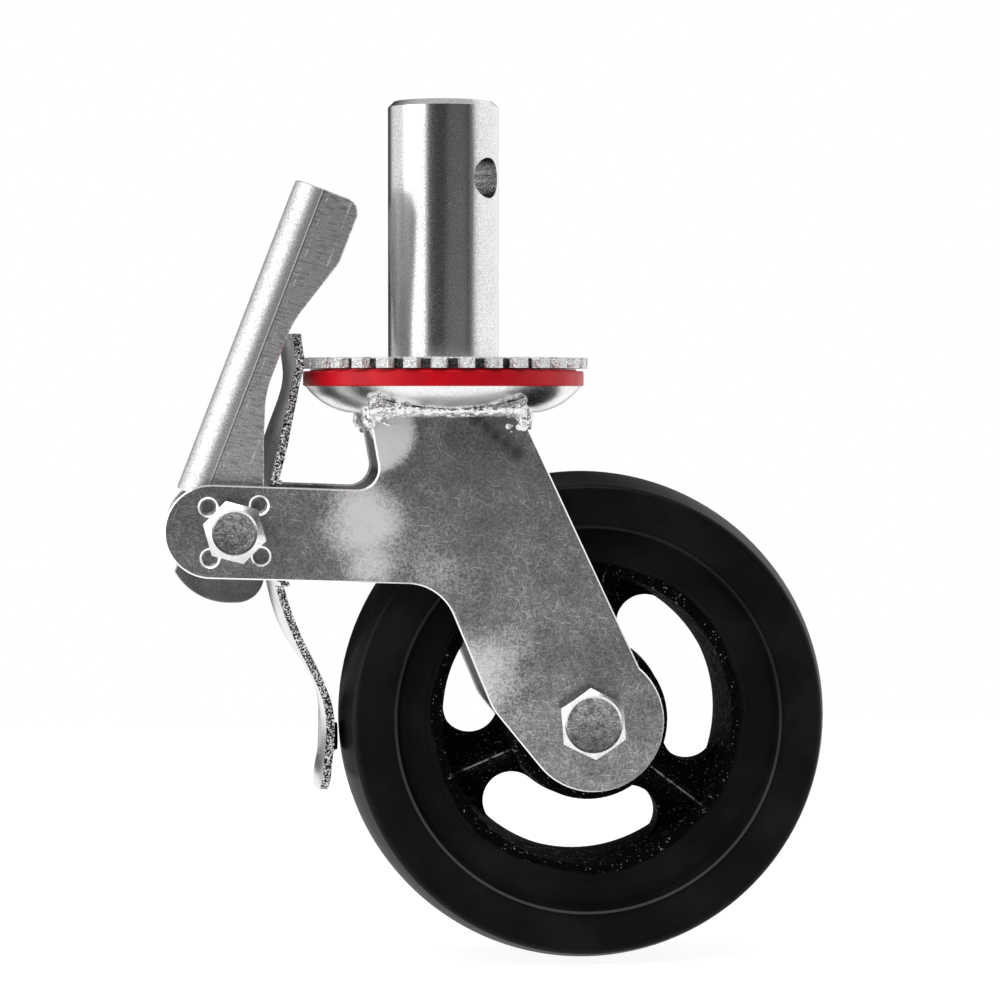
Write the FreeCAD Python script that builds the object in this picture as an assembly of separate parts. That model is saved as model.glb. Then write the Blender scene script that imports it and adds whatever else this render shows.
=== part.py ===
import FreeCAD, Part
import math
import os

V = FreeCAD.Vector

# Driving dimensions, in millimetres and degrees.
# The origin is on the stem's axis, at the top face of the toothed lock plate.
# +Z runs up the stem, +X trails towards the wheel and Y runs along the axle.

# Stem and kingpin, turned from one bar
STEM_DIA = 34.5
STEM_LENGTH = 79.6
STEM_CHAMFER = 1.8
CROSS_HOLE_DIA = 12.5
CROSS_HOLE_DROP = 24.1
CROSS_HOLE_TURN = -40.0
KINGPIN_DIA = 16.0
THREAD_RUNOUT = 1.5
PRESS_CLEARANCE = 0.05

# Toothed lock plate
LOCK_DIA = 90.0
LOCK_THICKNESS = 3.3
TOOTH_COUNT = 32
TOOTH_DEPTH = 3.6
NOTCH_MOUTH = 4.8
NOTCH_FLOOR = 2.6

# Swivel bearing
UPPER_BALL_DIA = 11.1
UPPER_BALL_PITCH_DIA = 54.0
UPPER_BALL_SPACE = 0.5
LOWER_BALL_DIA = 6.35
LOWER_BALL_PITCH_DIA = 36.0
LOWER_BALL_SPACE = 0.4
GROOVE_DEPTH = 0.7
BALL_CLEARANCE = 0.08
SLEEVE_WALL = 2.5
BOWL_BORE_CLEARANCE = 1.0
CUP_THICKNESS = 3.0
CUP_RIM_WIDTH = 2.6
CUP_RIM_HEIGHT = 2.2
KINGPIN_WASHER_DIA = 30.0
KINGPIN_WASHER_THICKNESS = 2.0
KINGPIN_NUT_FLATS = 24.0
KINGPIN_NUT_HEIGHT = 8.0

# Pressed bowl and its dust ring
BOWL_THICKNESS = 4.0
BOWL_RIM_DIA = 86.0
BOWL_FLOOR_DIA = 53.0
RING_DIA = 87.6
RING_GAP = 0.8
RING_HEIGHT = 4.7
RING_WIDTH = 4.3
RING_EDGE = 0.4
RING_LIP_WIDTH = 2.0
RING_LIP_GAP = 0.25

# Fork, two flat plates under the bowl
FORK_GAP = 53.0
PLATE_THICKNESS = 4.9
PLATE_EDGE = 0.5
NECK_BACK = 24.7
NECK_FRONT = 22.9
WAIST_BACK = 20.5
SHOULDER_OUT = 1.1
SHOULDER_DROP = 5.0
SHOULDER_RADIUS = 6.0
NOTCH_RADIUS = 6.5
LEG_FRONT_OUT = 22.4
LEG_BACK_OUT = 30.0
LEG_BACK_RISE = 4.0
LEG_BACK_RADIUS = 15.0
CROTCH_BACK = 46.0
CROTCH_RADIUS = 15.5
EYE_RADIUS = 21.5
EYE_SHIFT = 1.0
ARM_HEIGHT = 28.4
ARM_OVERHANG = 7.0
ARM_ROOT_EXTRA_TOP = 1.9
ARM_ROOT_EXTRA_BOTTOM = 2.1
DETENT_COUNT = 4
DETENT_CIRCLE_RADIUS = 10.9
DETENT_TURN = 47.0
DETENT_MOUTH_DIA = 6.4
DETENT_FLOOR_DIA = 3.4
DETENT_DEPTH = 1.3
WELD_RADIUS = 3.3
WELD_RISE = 2.2
WELD_END_RADIUS = 2.2
WELD_END_SINK = 0.5
WELD_LEG_BACK = 5.0
WELD_LEG_FRONT = 5.4

# Wheel and axle
WHEEL_DIA = 152.0
WHEEL_TRAIL = 43.0
AXLE_DROP = 111.3
TYRE_WIDTH = 50.0
CROWN_DROP = 3.4
SHOULDER_LAND = 22.5
SIDEWALL_TOP = 5.7
SHOULDER_FULLNESS = 0.764
TYRE_BEAD_DIA = 118.8
TYRE_BEAD_HEIGHT = 0.7
TYRE_BEAD_WIDTH = 1.6
SIDE_RECESS = 3.6
SKIN_THICKNESS = 1.4
SKIN_INNER_DIA = 99.0
CORE_DIA = 114.0
RIM_INNER_DIA = 90.0
RIM_DRAFT = 1.4
WEB_THICKNESS = 11.0
HUB_DIA = 49.0
HUB_DRAFT = 1.2
HUB_WIDTH = 49.0
HUB_EDGE = 1.0
HUB_BORE_DIA = 30.0
WINDOW_COUNT = 3
WINDOW_TURN = 22.8
WINDOW_PATH_RADIUS = 34.7
WINDOW_WIDTH = 17.9
WINDOW_HALF_SWEEP = 32.6
RIB_WIDTH = 16.0
RIB_CREST_WIDTH = 1.6
RIB_EDGE_DROP = 8.5
AXLE_DIA = 12.0
AXLE_HEAD_FLATS = 19.0
AXLE_HEAD_FACE_DIA = 17.6
AXLE_HEAD_HEIGHT = 7.4
AXLE_NUT_HEIGHT = 10.0
AXLE_WASHER_DIA = 24.0
AXLE_WASHER_THICKNESS = 2.5
AXLE_HEAD_TURN = 34.3
THREAD_END = 3.5
BOLT_CLEARANCE = 0.1
HEX_SIDES = 6
HEX_CHAMFER_TILT = 30.0
NUT_FACE_SHARE = 0.95
AXLE_SLEEVE_DIA = 20.0
ROLLER_COUNT = 10
ROLLER_LENGTH = 38.0
ROLLER_CLEARANCE = 0.05
CAGE_LENGTH = 45.0
CAGE_WALL = 1.6
CAGE_POCKET_SPACE = 0.2
THRUST_WASHER_DIA = 34.0
THRUST_WASHER_THICKNESS = 1.5

# Lever and its pivot
PIVOT_BACK = 65.4
PIVOT_DROP = 52.8
PIVOT_BOLT_DIA = 10.0
PIVOT_HEAD_FLATS = 17.0
PIVOT_HEAD_FACE_DIA = 13.8
PIVOT_HEAD_HEIGHT = 6.4
PIVOT_NUT_HEIGHT = 8.4
PIVOT_WASHER_DIA = 20.0
PIVOT_WASHER_THICKNESS = 2.0
PIVOT_HEAD_TURN = 45.3
PIVOT_SLEEVE_DIA = 14.0
PIVOT_RUNNING_CLEARANCE = 0.06
LEVER_TILT = 21.2
LEVER_SIDE_CLEARANCE = 0.6
LEVER_SHEET = 3.0
LEVER_BEND_RADIUS = 8.4
LEVER_WEB_DEPTH = 20.9
LEVER_WEB_START = 6.0
LEVER_LENGTH = 106.6
LEVER_HEAD_DEPTH = 21.3
LEVER_HEAD_LENGTH = 19.0
LEVER_HEAD_RADIUS = 4.5
LEVER_WAIST_DEPTH = 14.6
LEVER_HEAD_SLOPE = 22.1
LEVER_WAIST_BOTTOM = 42.5
LEVER_WAIST_RADIUS = 30.0
LEVER_WAIST_FULLNESS = 1.6
LEVER_HIP_RISE = 27.6
LEVER_HIP_RADIUS = 10.0
LEVER_HEEL_RISE = 4.0
LEVER_EDGE = 0.35
CAM_RELEASED_REACH = 9.0
CAM_LOCKED_REACH = 21.8
CAM_HEEL_REACH = 20.6
CAM_TOE_RADIUS = 8.5
CAM_HEEL_RADIUS = 19.0

# Brake leaf, a pressed and bowed steel strap, and its pad
LEAF_THICKNESS = 2.5
LEAF_HEAD_RISE = 7.3
LEAF_HEAD_CLEARANCE = 2.6
LEAF_HEAD_WIDTH = 40.0
LEAF_HEAD_LENGTH = 8.3
LEAF_HEAD_RADIUS = 5.0
LEAF_NECK_WIDTH = 30.0
LEAF_NECK_DROP = 8.0
LEAF_FLARE_WIDTH = 52.0
LEAF_LOWER_WIDTH = 44.0
LEAF_SHOULDER_WIDTH = 58.0
LEAF_SHOULDER_HEIGHT = 1.4
LEAF_SHOULDER_RADIUS = 0.5
LEAF_SIDE_CLEARANCE = 0.7
LEAF_ARM_CLEARANCE = 0.45
LEAF_ARM_SHARE = 0.33
LEAF_BLEND_RADIUS = 5.0
LEAF_TAIL_WIDTH = 32.0
LEAF_TAIL_TAPER = 24.0
LEAF_TAIL_DROP = 80.5
LEAF_TAIL_RADIUS = 4.5
LEAF_CAM_CLEARANCE = 0.5
LEAF_TAIL_CLEARANCE = 4.0
PAD_DROP = 118.0
PAD_BASE_DIA = 10.6
PAD_TIP_DIA = 8.2
PAD_STEM_DIA = 5.5
PAD_CLEARANCE = 0.6
PAD_SEAT_CLEARANCE = 0.3

# The leaf's form, from the head down to the pivot and from the pivot down to the tail.
# Each station is the share of that length, the share of the bow and the gutter's radius.
LEAF_UPPER_STATIONS = [
    (0.0, 0.0, 47.6),
    (0.19, 0.0, 47.6),
    (0.29, 0.09, 47.6),
    (0.39, 0.34, 48.0),
    (0.555, 0.77, 50.0),
    (0.74, 0.95, 95.0),
    (1.0, 1.0, 110.0),
]
LEAF_LOWER_STATIONS = [
    (0.20, 0.14, 100.0),
    (0.34, 0.30, 65.0),
    (0.42, 0.46, 62.0),
    (0.50, 0.68, 90.0),
    (0.58, 0.88, 150.0),
    (0.66, 0.985, 100.0),
    (0.76, 1.0, 64.0),
    (0.88, 0.97, 66.0),
    (1.0, 0.93, 70.0),
]

# Sizes that follow from the ones above
plate_inner = FORK_GAP / 2
plate_outer = plate_inner + PLATE_THICKNESS
ring_top = -LOCK_THICKNESS - RING_GAP
rim_top = ring_top - RING_HEIGHT
upper_ball_z = -LOCK_THICKNESS + GROOVE_DEPTH - BALL_CLEARANCE - UPPER_BALL_DIA / 2
bowl_floor_top = upper_ball_z - UPPER_BALL_DIA / 2 - BALL_CLEARANCE + GROOVE_DEPTH
bowl_bottom = bowl_floor_top - BOWL_THICKNESS
lower_ball_z = bowl_bottom + GROOVE_DEPTH - BALL_CLEARANCE - LOWER_BALL_DIA / 2
cup_floor_top = lower_ball_z - LOWER_BALL_DIA / 2 - BALL_CLEARANCE + GROOVE_DEPTH
cup_bottom = cup_floor_top - CUP_THICKNESS
kingpin_washer_bottom = cup_bottom - KINGPIN_WASHER_THICKNESS
kingpin_nut_bottom = kingpin_washer_bottom - KINGPIN_NUT_HEIGHT
kingpin_end = kingpin_nut_bottom - THREAD_RUNOUT
kingpin_radius = KINGPIN_DIA / 2
sleeve_radius = kingpin_radius + PRESS_CLEARANCE + SLEEVE_WALL
bowl_bore_radius = sleeve_radius + BOWL_BORE_CLEARANCE
axle_centre = V(WHEEL_TRAIL, 0, -AXLE_DROP)
pivot_centre = V(-PIVOT_BACK, 0, -PIVOT_DROP)
lever_half_width = plate_inner - LEVER_SIDE_CLEARANCE
ALONG_Y = V(0, 1, 0)
ALONG_Z = V(0, 0, 1)
TINY = 1e-6


def side_view(u, v):
    """A point of an outline drawn on the XZ plane."""
    return V(u, 0, v)


def front_view(u, v):
    """A point of an outline drawn on the YZ plane."""
    return V(0, u, v)


def corner_arc(before, corner, after, radius):
    """The two tangent points of a rounded corner and the middle of its arc."""
    to_before = (before - corner).normalize()
    to_after = (after - corner).normalize()
    half_angle = to_before.getAngle(to_after) / 2
    reach = radius / math.tan(half_angle)
    inward = (to_before + to_after).normalize()
    centre = corner + inward * (radius / math.sin(half_angle))
    return corner + to_before * reach, centre - inward * radius, corner + to_after * reach


def outline_face(corners, view):
    """A flat face whose corners are (u, v, radius), in order round the outline."""
    points = [view(u, v) for u, v, radius in corners]
    edges = []
    previous_end = None
    first_start = None
    for index, (u, v, radius) in enumerate(corners):
        before = points[index - 1]
        after = points[(index + 1) % len(points)]
        if radius > 0:
            start, middle, end = corner_arc(before, points[index], after, radius)
        else:
            start = end = points[index]
        if previous_end is None:
            first_start = start
        elif (start - previous_end).Length > TINY:
            edges.append(Part.LineSegment(previous_end, start).toShape())
        if radius > 0:
            edges.append(Part.Arc(start, middle, end).toShape())
        previous_end = end
    if (first_start - previous_end).Length > TINY:
        edges.append(Part.LineSegment(previous_end, first_start).toShape())
    return Part.Face(Part.Wire(edges))


def tangent_corner(outside, centre, radius, side):
    """Where a line from an outside point touches a circle on the XZ plane; side is +1 or -1."""
    to_centre = V(centre[0] - outside[0], 0, centre[1] - outside[1])
    distance = to_centre.Length
    swing = side * math.asin(radius / distance)
    reach = math.sqrt(distance ** 2 - radius ** 2)
    direction = math.atan2(to_centre.z, to_centre.x) + swing
    return outside[0] + reach * math.cos(direction), outside[1] + reach * math.sin(direction)


def revolved(profile, axis_point, axis, arcs=None):
    """A ring or disc turned from (radius, height) points; arcs maps a point's index to an arc's middle."""
    edges = []
    for index, start in enumerate(profile):
        end = profile[(index + 1) % len(profile)]
        middle = (arcs or {}).get(index)
        if middle:
            edges.append(Part.Arc(V(start[0], 0, start[1]), V(middle[0], 0, middle[1]),
                                  V(end[0], 0, end[1])).toShape())
        else:
            edges.append(Part.LineSegment(V(start[0], 0, start[1]), V(end[0], 0, end[1])).toShape())
    solid = Part.Face(Part.Wire(edges)).revolve(V(0, 0, 0), ALONG_Z, 360)
    turn = FreeCAD.Rotation(ALONG_Z, axis)
    solid.Placement = FreeCAD.Placement(axis_point, turn)
    return solid


def tube(outer_radius, inner_radius, low, high, centre=V(0, 0, 0), axis=ALONG_Z):
    """A plain tube between two stations along its axis."""
    base = centre + axis * low
    outer = Part.makeCylinder(outer_radius, high - low, base, axis)
    return outer.cut(Part.makeCylinder(inner_radius, high - low, base, axis))


def ring_of(shape, count, centre, axis, turn=0.0):
    """Copies of a shape spaced evenly round an axis."""
    copies = []
    for index in range(count):
        copy = shape.copy()
        copy.rotate(centre, axis, turn + 360.0 * index / count)
        copies.append(copy)
    return copies


def ball_groove(pitch_dia, ball_dia, height):
    """The torus that a row of balls sweeps, with its running clearance."""
    return Part.makeTorus(pitch_dia / 2, ball_dia / 2 + BALL_CLEARANCE, V(0, 0, height))


def hexagon_prism(flats, face_dia, low, high, centre, turn, chamfered_high):
    """A hexagonal head or nut along Y, its corners chamfered round its near face and, on a nut, its far one."""
    across_corners = flats / math.sqrt(3)
    points = []
    for index in range(HEX_SIDES + 1):
        angle = math.radians(turn) + index * math.tau / HEX_SIDES
        points.append(centre + V(across_corners * math.cos(angle), low, across_corners * math.sin(angle)))
    prism = Part.Face(Part.makePolygon(points)).extrude(V(0, high - low, 0))
    face_radius = face_dia / 2
    drop = (across_corners - face_radius) * math.tan(math.radians(HEX_CHAMFER_TILT))
    profile = [(0, low), (face_radius, low), (across_corners, low + drop)]
    if chamfered_high:
        profile += [(across_corners, high - drop), (face_radius, high), (0, high)]
    else:
        profile += [(across_corners, high), (0, high)]
    return prism.common(revolved(profile, centre, ALONG_Y))


def hex_bolt(bolt_dia, flats, face_dia, head_height, head_side, end, centre, turn):
    """A bolt along Y whose head seats at head_side and whose shank ends past the nut."""
    head = hexagon_prism(flats, face_dia, head_side - head_height, head_side, centre, turn, False)
    shank = Part.makeCylinder(bolt_dia / 2, end - head_side, centre + V(0, head_side, 0), ALONG_Y)
    tip = Part.makeCone(bolt_dia / 2, bolt_dia / 2 - THREAD_RUNOUT, THREAD_RUNOUT,
                        centre + V(0, end, 0), ALONG_Y)
    return head.fuse(shank).fuse(tip).removeSplitter()


def hex_nut(bolt_dia, flats, low, height, centre, turn):
    """A nut along Y, bored to pass its bolt's thread."""
    body = hexagon_prism(flats, flats * NUT_FACE_SHARE, low, low + height, centre, turn, True)
    return body.cut(Part.makeCylinder(bolt_dia / 2 + PRESS_CLEARANCE, height, centre + V(0, low, 0), ALONG_Y))


def make_stem():
    """The solid bar that enters the scaffold tube, with its kingpin turned on the lower end."""
    radius = STEM_DIA / 2
    profile = [
        (0, kingpin_end),
        (kingpin_radius - THREAD_RUNOUT, kingpin_end),
        (kingpin_radius, kingpin_end + THREAD_RUNOUT),
        (kingpin_radius, 0),
        (radius, 0),
        (radius, STEM_LENGTH - STEM_CHAMFER),
        (radius - STEM_CHAMFER, STEM_LENGTH),
        (0, STEM_LENGTH),
    ]
    bar = revolved(profile, V(0, 0, 0), ALONG_Z)
    turn = math.radians(CROSS_HOLE_TURN)
    along = V(math.cos(turn), math.sin(turn), 0)
    start = V(0, 0, STEM_LENGTH - CROSS_HOLE_DROP) - along * STEM_DIA
    return bar.cut(Part.makeCylinder(CROSS_HOLE_DIA / 2, STEM_DIA * 2, start, along))


def make_lock_plate():
    """The plate clamped under the stem's shoulder, with lock teeth round its rim."""
    radius = LOCK_DIA / 2
    plate = tube(radius, kingpin_radius + PRESS_CLEARANCE, -LOCK_THICKNESS, 0)
    floor = radius - TOOTH_DEPTH
    beyond = radius + TOOTH_DEPTH
    mouth = NOTCH_MOUTH / 2 + (NOTCH_MOUTH - NOTCH_FLOOR) / 2
    points = [V(floor, -NOTCH_FLOOR / 2, 0), V(beyond, -mouth, 0), V(beyond, mouth, 0),
              V(floor, NOTCH_FLOOR / 2, 0), V(floor, -NOTCH_FLOOR / 2, 0)]
    notch = Part.Face(Part.makePolygon(points)).extrude(V(0, 0, -LOCK_THICKNESS))
    notches = ring_of(notch, TOOTH_COUNT, V(0, 0, 0), ALONG_Z)
    groove = ball_groove(UPPER_BALL_PITCH_DIA, UPPER_BALL_DIA, upper_ball_z)
    return plate.cut(Part.makeCompound(notches)).cut(groove)


def ball_row(pitch_dia, ball_dia, space, height):
    """As many balls as fit round the race with a little space between them."""
    count = int(math.pi * pitch_dia / (ball_dia + space))
    ball = Part.makeSphere(ball_dia / 2, V(pitch_dia / 2, 0, height))
    return Part.makeCompound(ring_of(ball, count, V(0, 0, 0), ALONG_Z))


def make_race_sleeve():
    """The distance sleeve that sets the play of the swivel bearing."""
    return tube(sleeve_radius, kingpin_radius + PRESS_CLEARANCE, cup_floor_top, -LOCK_THICKNESS)


def make_lower_cup():
    """The lower race, a dish that holds the small balls against the underside of the bowl."""
    inner = kingpin_radius + PRESS_CLEARANCE
    edge = LOWER_BALL_PITCH_DIA / 2 + LOWER_BALL_DIA / 2 + CUP_RIM_WIDTH / 2
    rim_height = cup_floor_top + CUP_RIM_HEIGHT
    profile = [
        (inner, cup_bottom),
        (edge, cup_bottom),
        (edge + CUP_RIM_WIDTH, rim_height),
        (edge, rim_height),
        (edge - CUP_RIM_WIDTH / 2, cup_floor_top),
        (inner, cup_floor_top),
    ]
    cup = revolved(profile, V(0, 0, 0), ALONG_Z)
    return cup.cut(ball_groove(LOWER_BALL_PITCH_DIA, LOWER_BALL_DIA, lower_ball_z))


def make_kingpin_washer():
    """The washer between the lower race and the kingpin nut."""
    return tube(KINGPIN_WASHER_DIA / 2, kingpin_radius + PRESS_CLEARANCE, kingpin_washer_bottom, cup_bottom)


def make_kingpin_nut():
    """The thin nut that holds the swivel bearing together."""
    nut = hex_nut(KINGPIN_DIA, KINGPIN_NUT_FLATS, 0, KINGPIN_NUT_HEIGHT, V(0, 0, 0), 0)
    nut.rotate(V(0, 0, 0), V(1, 0, 0), -90)
    nut.translate(V(0, 0, kingpin_washer_bottom))
    return nut


def bowl_side(offset):
    """Start, middle and end of the bowl's curved side, offset inwards from its outer face."""
    floor_radius = BOWL_FLOOR_DIA / 2
    rim_radius = BOWL_RIM_DIA / 2
    rise = rim_top - bowl_bottom
    run = rim_radius - floor_radius
    side_radius = (rise ** 2 + run ** 2) / (2 * rise)
    centre_z = bowl_bottom + side_radius
    radius = side_radius - offset
    end_reach = math.sqrt(radius ** 2 - (centre_z - rim_top) ** 2)
    half_angle = math.asin(end_reach / radius) / 2
    middle = (floor_radius + radius * math.sin(half_angle), centre_z - radius * math.cos(half_angle))
    return (floor_radius, bowl_bottom + offset), middle, (floor_radius + end_reach, rim_top)


def make_swivel_bowl():
    """The pressed dish that carries the fork and runs round between the two rows of balls."""
    outer_start, outer_middle, outer_end = bowl_side(0)
    inner_start, inner_middle, inner_end = bowl_side(BOWL_THICKNESS)
    profile = [
        (bowl_bore_radius, bowl_bottom),
        outer_start,
        outer_end,
        inner_end,
        inner_start,
        (bowl_bore_radius, bowl_floor_top),
    ]
    bowl = revolved(profile, V(0, 0, 0), ALONG_Z, {1: outer_middle, 3: inner_middle})
    upper = ball_groove(UPPER_BALL_PITCH_DIA, UPPER_BALL_DIA, upper_ball_z)
    lower = ball_groove(LOWER_BALL_PITCH_DIA, LOWER_BALL_DIA, lower_ball_z)
    return bowl.cut(upper).cut(lower)


def make_dust_ring():
    """The coloured plastic ring on the bowl's rim, its inner lip close under the plate against dirt."""
    outer = RING_DIA / 2
    inner = outer - RING_WIDTH
    lip_top = -LOCK_THICKNESS - RING_LIP_GAP
    profile = [
        (inner, rim_top),
        (outer - RING_EDGE, rim_top),
        (outer, rim_top + RING_EDGE),
        (outer, ring_top - RING_EDGE),
        (outer - RING_EDGE, ring_top),
        (inner + RING_LIP_WIDTH, ring_top),
        (inner + RING_LIP_WIDTH, lip_top),
        (inner, lip_top),
    ]
    return revolved(profile, V(0, 0, 0), ALONG_Z)


def fork_corners():
    """The side of one fork plate: neck, arm for the lever and leg for the wheel."""
    eye = (WHEEL_TRAIL + EYE_SHIFT, -AXLE_DROP)
    arm_end = (-PIVOT_BACK - ARM_OVERHANG, -PIVOT_DROP)
    arm_root_top = (-WAIST_BACK, -PIVOT_DROP + ARM_HEIGHT / 2 - ARM_ROOT_EXTRA_TOP)
    arm_root_bottom = (WHEEL_TRAIL - CROTCH_BACK, -PIVOT_DROP - ARM_HEIGHT / 2 - ARM_ROOT_EXTRA_BOTTOM)
    leg_back = (WHEEL_TRAIL - LEG_BACK_OUT, -AXLE_DROP + LEG_BACK_RISE)
    eye_back = tangent_corner(leg_back, eye, EYE_RADIUS, -1)
    arm_bottom = tangent_corner(arm_root_bottom, arm_end, ARM_HEIGHT / 2, 1)
    arm_top = tangent_corner(arm_root_top, arm_end, ARM_HEIGHT / 2, -1)
    return [
        (-NECK_BACK, bowl_bottom, 0),
        (NECK_FRONT, bowl_bottom, 0),
        (NECK_FRONT + SHOULDER_OUT, bowl_bottom - SHOULDER_DROP, SHOULDER_RADIUS),
        (eye[0] + EYE_RADIUS, eye[1], 0),
        (*eye, 0),
        (*eye_back, 0),
        (*leg_back, LEG_BACK_RADIUS),
        (*arm_root_bottom, CROTCH_RADIUS),
        (*arm_bottom, 0),
        (*arm_end, 0),
        (*arm_top, 0),
        (*arm_root_top, NOTCH_RADIUS),
    ], eye, arm_end


def make_detents(side):
    """The four dimples pressed into the outer face of the arm round the lever's pivot."""
    depth = DETENT_DEPTH
    base = pivot_centre + V(DETENT_CIRCLE_RADIUS, side * (plate_outer - depth), 0)
    dimple = Part.makeCone(DETENT_FLOOR_DIA / 2, DETENT_MOUTH_DIA / 2, depth, base, V(0, side, 0))
    return Part.makeCompound(ring_of(dimple, DETENT_COUNT, pivot_centre, ALONG_Y, -DETENT_TURN))


def make_fork_plate(side):
    """One flat fork plate; side is -1 for the near plate and +1 for the far one."""
    corners, eye, arm_end = fork_corners()
    low = plate_inner if side > 0 else -plate_outer
    thickness = V(0, PLATE_THICKNESS, 0)
    plate = outline_face(corners, side_view).extrude(thickness)
    for centre, radius in ((eye, EYE_RADIUS), (arm_end, ARM_HEIGHT / 2)):
        plate = plate.fuse(Part.makeCylinder(radius, PLATE_THICKNESS, side_view(*centre), ALONG_Y))
    plate = plate.removeSplitter()
    plate.translate(V(0, low, 0))
    rims = [edge for edge in plate.Edges
            if edge.BoundBox.YLength < TINY and edge.BoundBox.ZMax < bowl_bottom - TINY]
    rims = [edge for edge in rims if edge.BoundBox.ZMin < bowl_bottom - SHOULDER_DROP]
    plate = plate.makeChamfer(PLATE_EDGE, rims)
    base = V(0, low, 0)
    for centre, dia in ((axle_centre, AXLE_DIA), (pivot_centre, PIVOT_BOLT_DIA)):
        hole = Part.makeCylinder(dia / 2 + BOLT_CLEARANCE, PLATE_THICKNESS, centre + base, ALONG_Y)
        plate = plate.cut(hole)
    return plate.cut(make_detents(side))


def make_weld(plate, bowl):
    """The weld between the far plate's top and the bowl's side, with a run down each neck edge.

    Only the piece outside the bowl is kept, because the bead doesn't melt through the sheet.
    """
    bead_z = bowl_bottom + WELD_RISE
    run_start = V(-NECK_BACK, plate_outer, bead_z)
    bead = Part.makeCylinder(WELD_RADIUS, NECK_BACK + NECK_FRONT, run_start, V(1, 0, 0))
    for x, leg in ((-NECK_BACK, WELD_LEG_BACK), (NECK_FRONT, WELD_LEG_FRONT)):
        foot = V(x, plate_outer - WELD_END_SINK, bead_z - leg)
        end = Part.makeCylinder(WELD_END_RADIUS, leg, foot, ALONG_Z)
        bead = bead.fuse(end.fuse(Part.makeSphere(WELD_END_RADIUS, foot)))
    pieces = bead.cut(plate).cut(bowl).Solids
    return max(pieces, key=lambda piece: piece.Volume)


def tyre_profile():
    """The tyre's section as (radius, width) points, with the arcs of its crown and shoulders."""
    radius = WHEEL_DIA / 2
    half = TYRE_WIDTH / 2
    skin = half - SIDE_RECESS
    rim = skin - SKIN_THICKNESS
    bead = TYRE_BEAD_DIA / 2
    crown = radius - CROWN_DROP
    wall_top = radius - SIDEWALL_TOP
    quarter = TYRE_BEAD_WIDTH / 4
    side = [
        (CORE_DIA / 2, rim),
        (SKIN_INNER_DIA / 2, rim),
        (SKIN_INNER_DIA / 2 + SKIN_THICKNESS / 2, skin),
        (bead - TYRE_BEAD_WIDTH, skin),
        (bead - quarter * 2, half),
        (bead - quarter, half + TYRE_BEAD_HEIGHT),
        (bead + quarter, half + TYRE_BEAD_HEIGHT),
        (bead + quarter * 2, half),
        (wall_top, half),
        (crown, SHOULDER_LAND),
    ]
    other = [(r, -y) for r, y in reversed(side)]
    bulge_r = wall_top + (crown - wall_top) * SHOULDER_FULLNESS
    bulge_y = SHOULDER_LAND + (half - SHOULDER_LAND) * SHOULDER_FULLNESS
    wall_index = len(side) - 2
    arcs = {
        wall_index: (bulge_r, bulge_y),
        wall_index + 1: (radius, 0),
        wall_index + 2: (bulge_r, -bulge_y),
    }
    return side + other, arcs


def make_tyre():
    """The black rubber tyre moulded onto the core, with a thin skin over the core's rim."""
    profile, arcs = tyre_profile()
    return revolved(profile, axle_centre, ALONG_Y, arcs)


def make_window():
    """One kidney-shaped window of the core, centred on the wheel's own +X."""
    inner = WINDOW_PATH_RADIUS - WINDOW_WIDTH / 2
    outer = WINDOW_PATH_RADIUS + WINDOW_WIDTH / 2
    base = V(0, -WEB_THICKNESS, 0)
    height = WEB_THICKNESS * 2
    sweep = WINDOW_HALF_SWEEP * 2
    sector = Part.makeCylinder(outer, height, base, ALONG_Y, sweep)
    sector = sector.cut(Part.makeCylinder(inner, height, base, ALONG_Y)).Solids[0]
    middle = sector.CenterOfMass
    sector.rotate(V(0, 0, 0), ALONG_Y, math.degrees(math.atan2(middle.z, middle.x)))
    for end in (-1, 1):
        angle = math.radians(end * WINDOW_HALF_SWEEP)
        spot = V(WINDOW_PATH_RADIUS * math.cos(angle), 0, WINDOW_PATH_RADIUS * math.sin(angle))
        sector = sector.fuse(Part.makeCylinder(WINDOW_WIDTH / 2, height, spot + base, ALONG_Y))
    return sector.removeSplitter()


def make_rib():
    """The ridge along one spoke, a roof-shaped bar that stands proud on both sides of the web."""
    half = RIB_WIDTH / 2
    crest = HUB_WIDTH / 2 - RIB_EDGE_DROP
    flat = RIB_CREST_WIDTH / 2
    start = HUB_DIA / 2 - HUB_EDGE
    length = RIM_INNER_DIA / 2 - start
    section = [(-half, 0), (-flat, crest), (flat, crest), (half, 0), (flat, -crest), (-flat, -crest)]
    points = [V(start, y, t) for t, y in section]
    return Part.Face(Part.makePolygon(points + points[:1])).extrude(V(length, 0, 0))


def make_wheel_core():
    """The cast iron centre: hub, web with three windows, ridged spokes and the rim under the tyre."""
    hub = HUB_DIA / 2
    rim_half = TYRE_WIDTH / 2 - SIDE_RECESS - SKIN_THICKNESS
    web = WEB_THICKNESS / 2
    side = [
        (HUB_BORE_DIA / 2, HUB_WIDTH / 2),
        (hub - HUB_EDGE, HUB_WIDTH / 2),
        (hub, HUB_WIDTH / 2 - HUB_EDGE),
        (hub + HUB_DRAFT, web),
        (RIM_INNER_DIA / 2 - RIM_DRAFT, web),
        (RIM_INNER_DIA / 2, rim_half),
        (CORE_DIA / 2, rim_half),
    ]
    other = [(r, -y) for r, y in reversed(side)]
    core = revolved(side + other, V(0, 0, 0), ALONG_Y)
    step = 360.0 / WINDOW_COUNT
    ribs = ring_of(make_rib(), WINDOW_COUNT, V(0, 0, 0), ALONG_Y, -WINDOW_TURN - step / 2)
    windows = ring_of(make_window(), WINDOW_COUNT, V(0, 0, 0), ALONG_Y, -WINDOW_TURN)
    core = core.fuse(ribs).removeSplitter().cut(Part.makeCompound(windows))
    core.translate(axle_centre)
    return core


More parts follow.
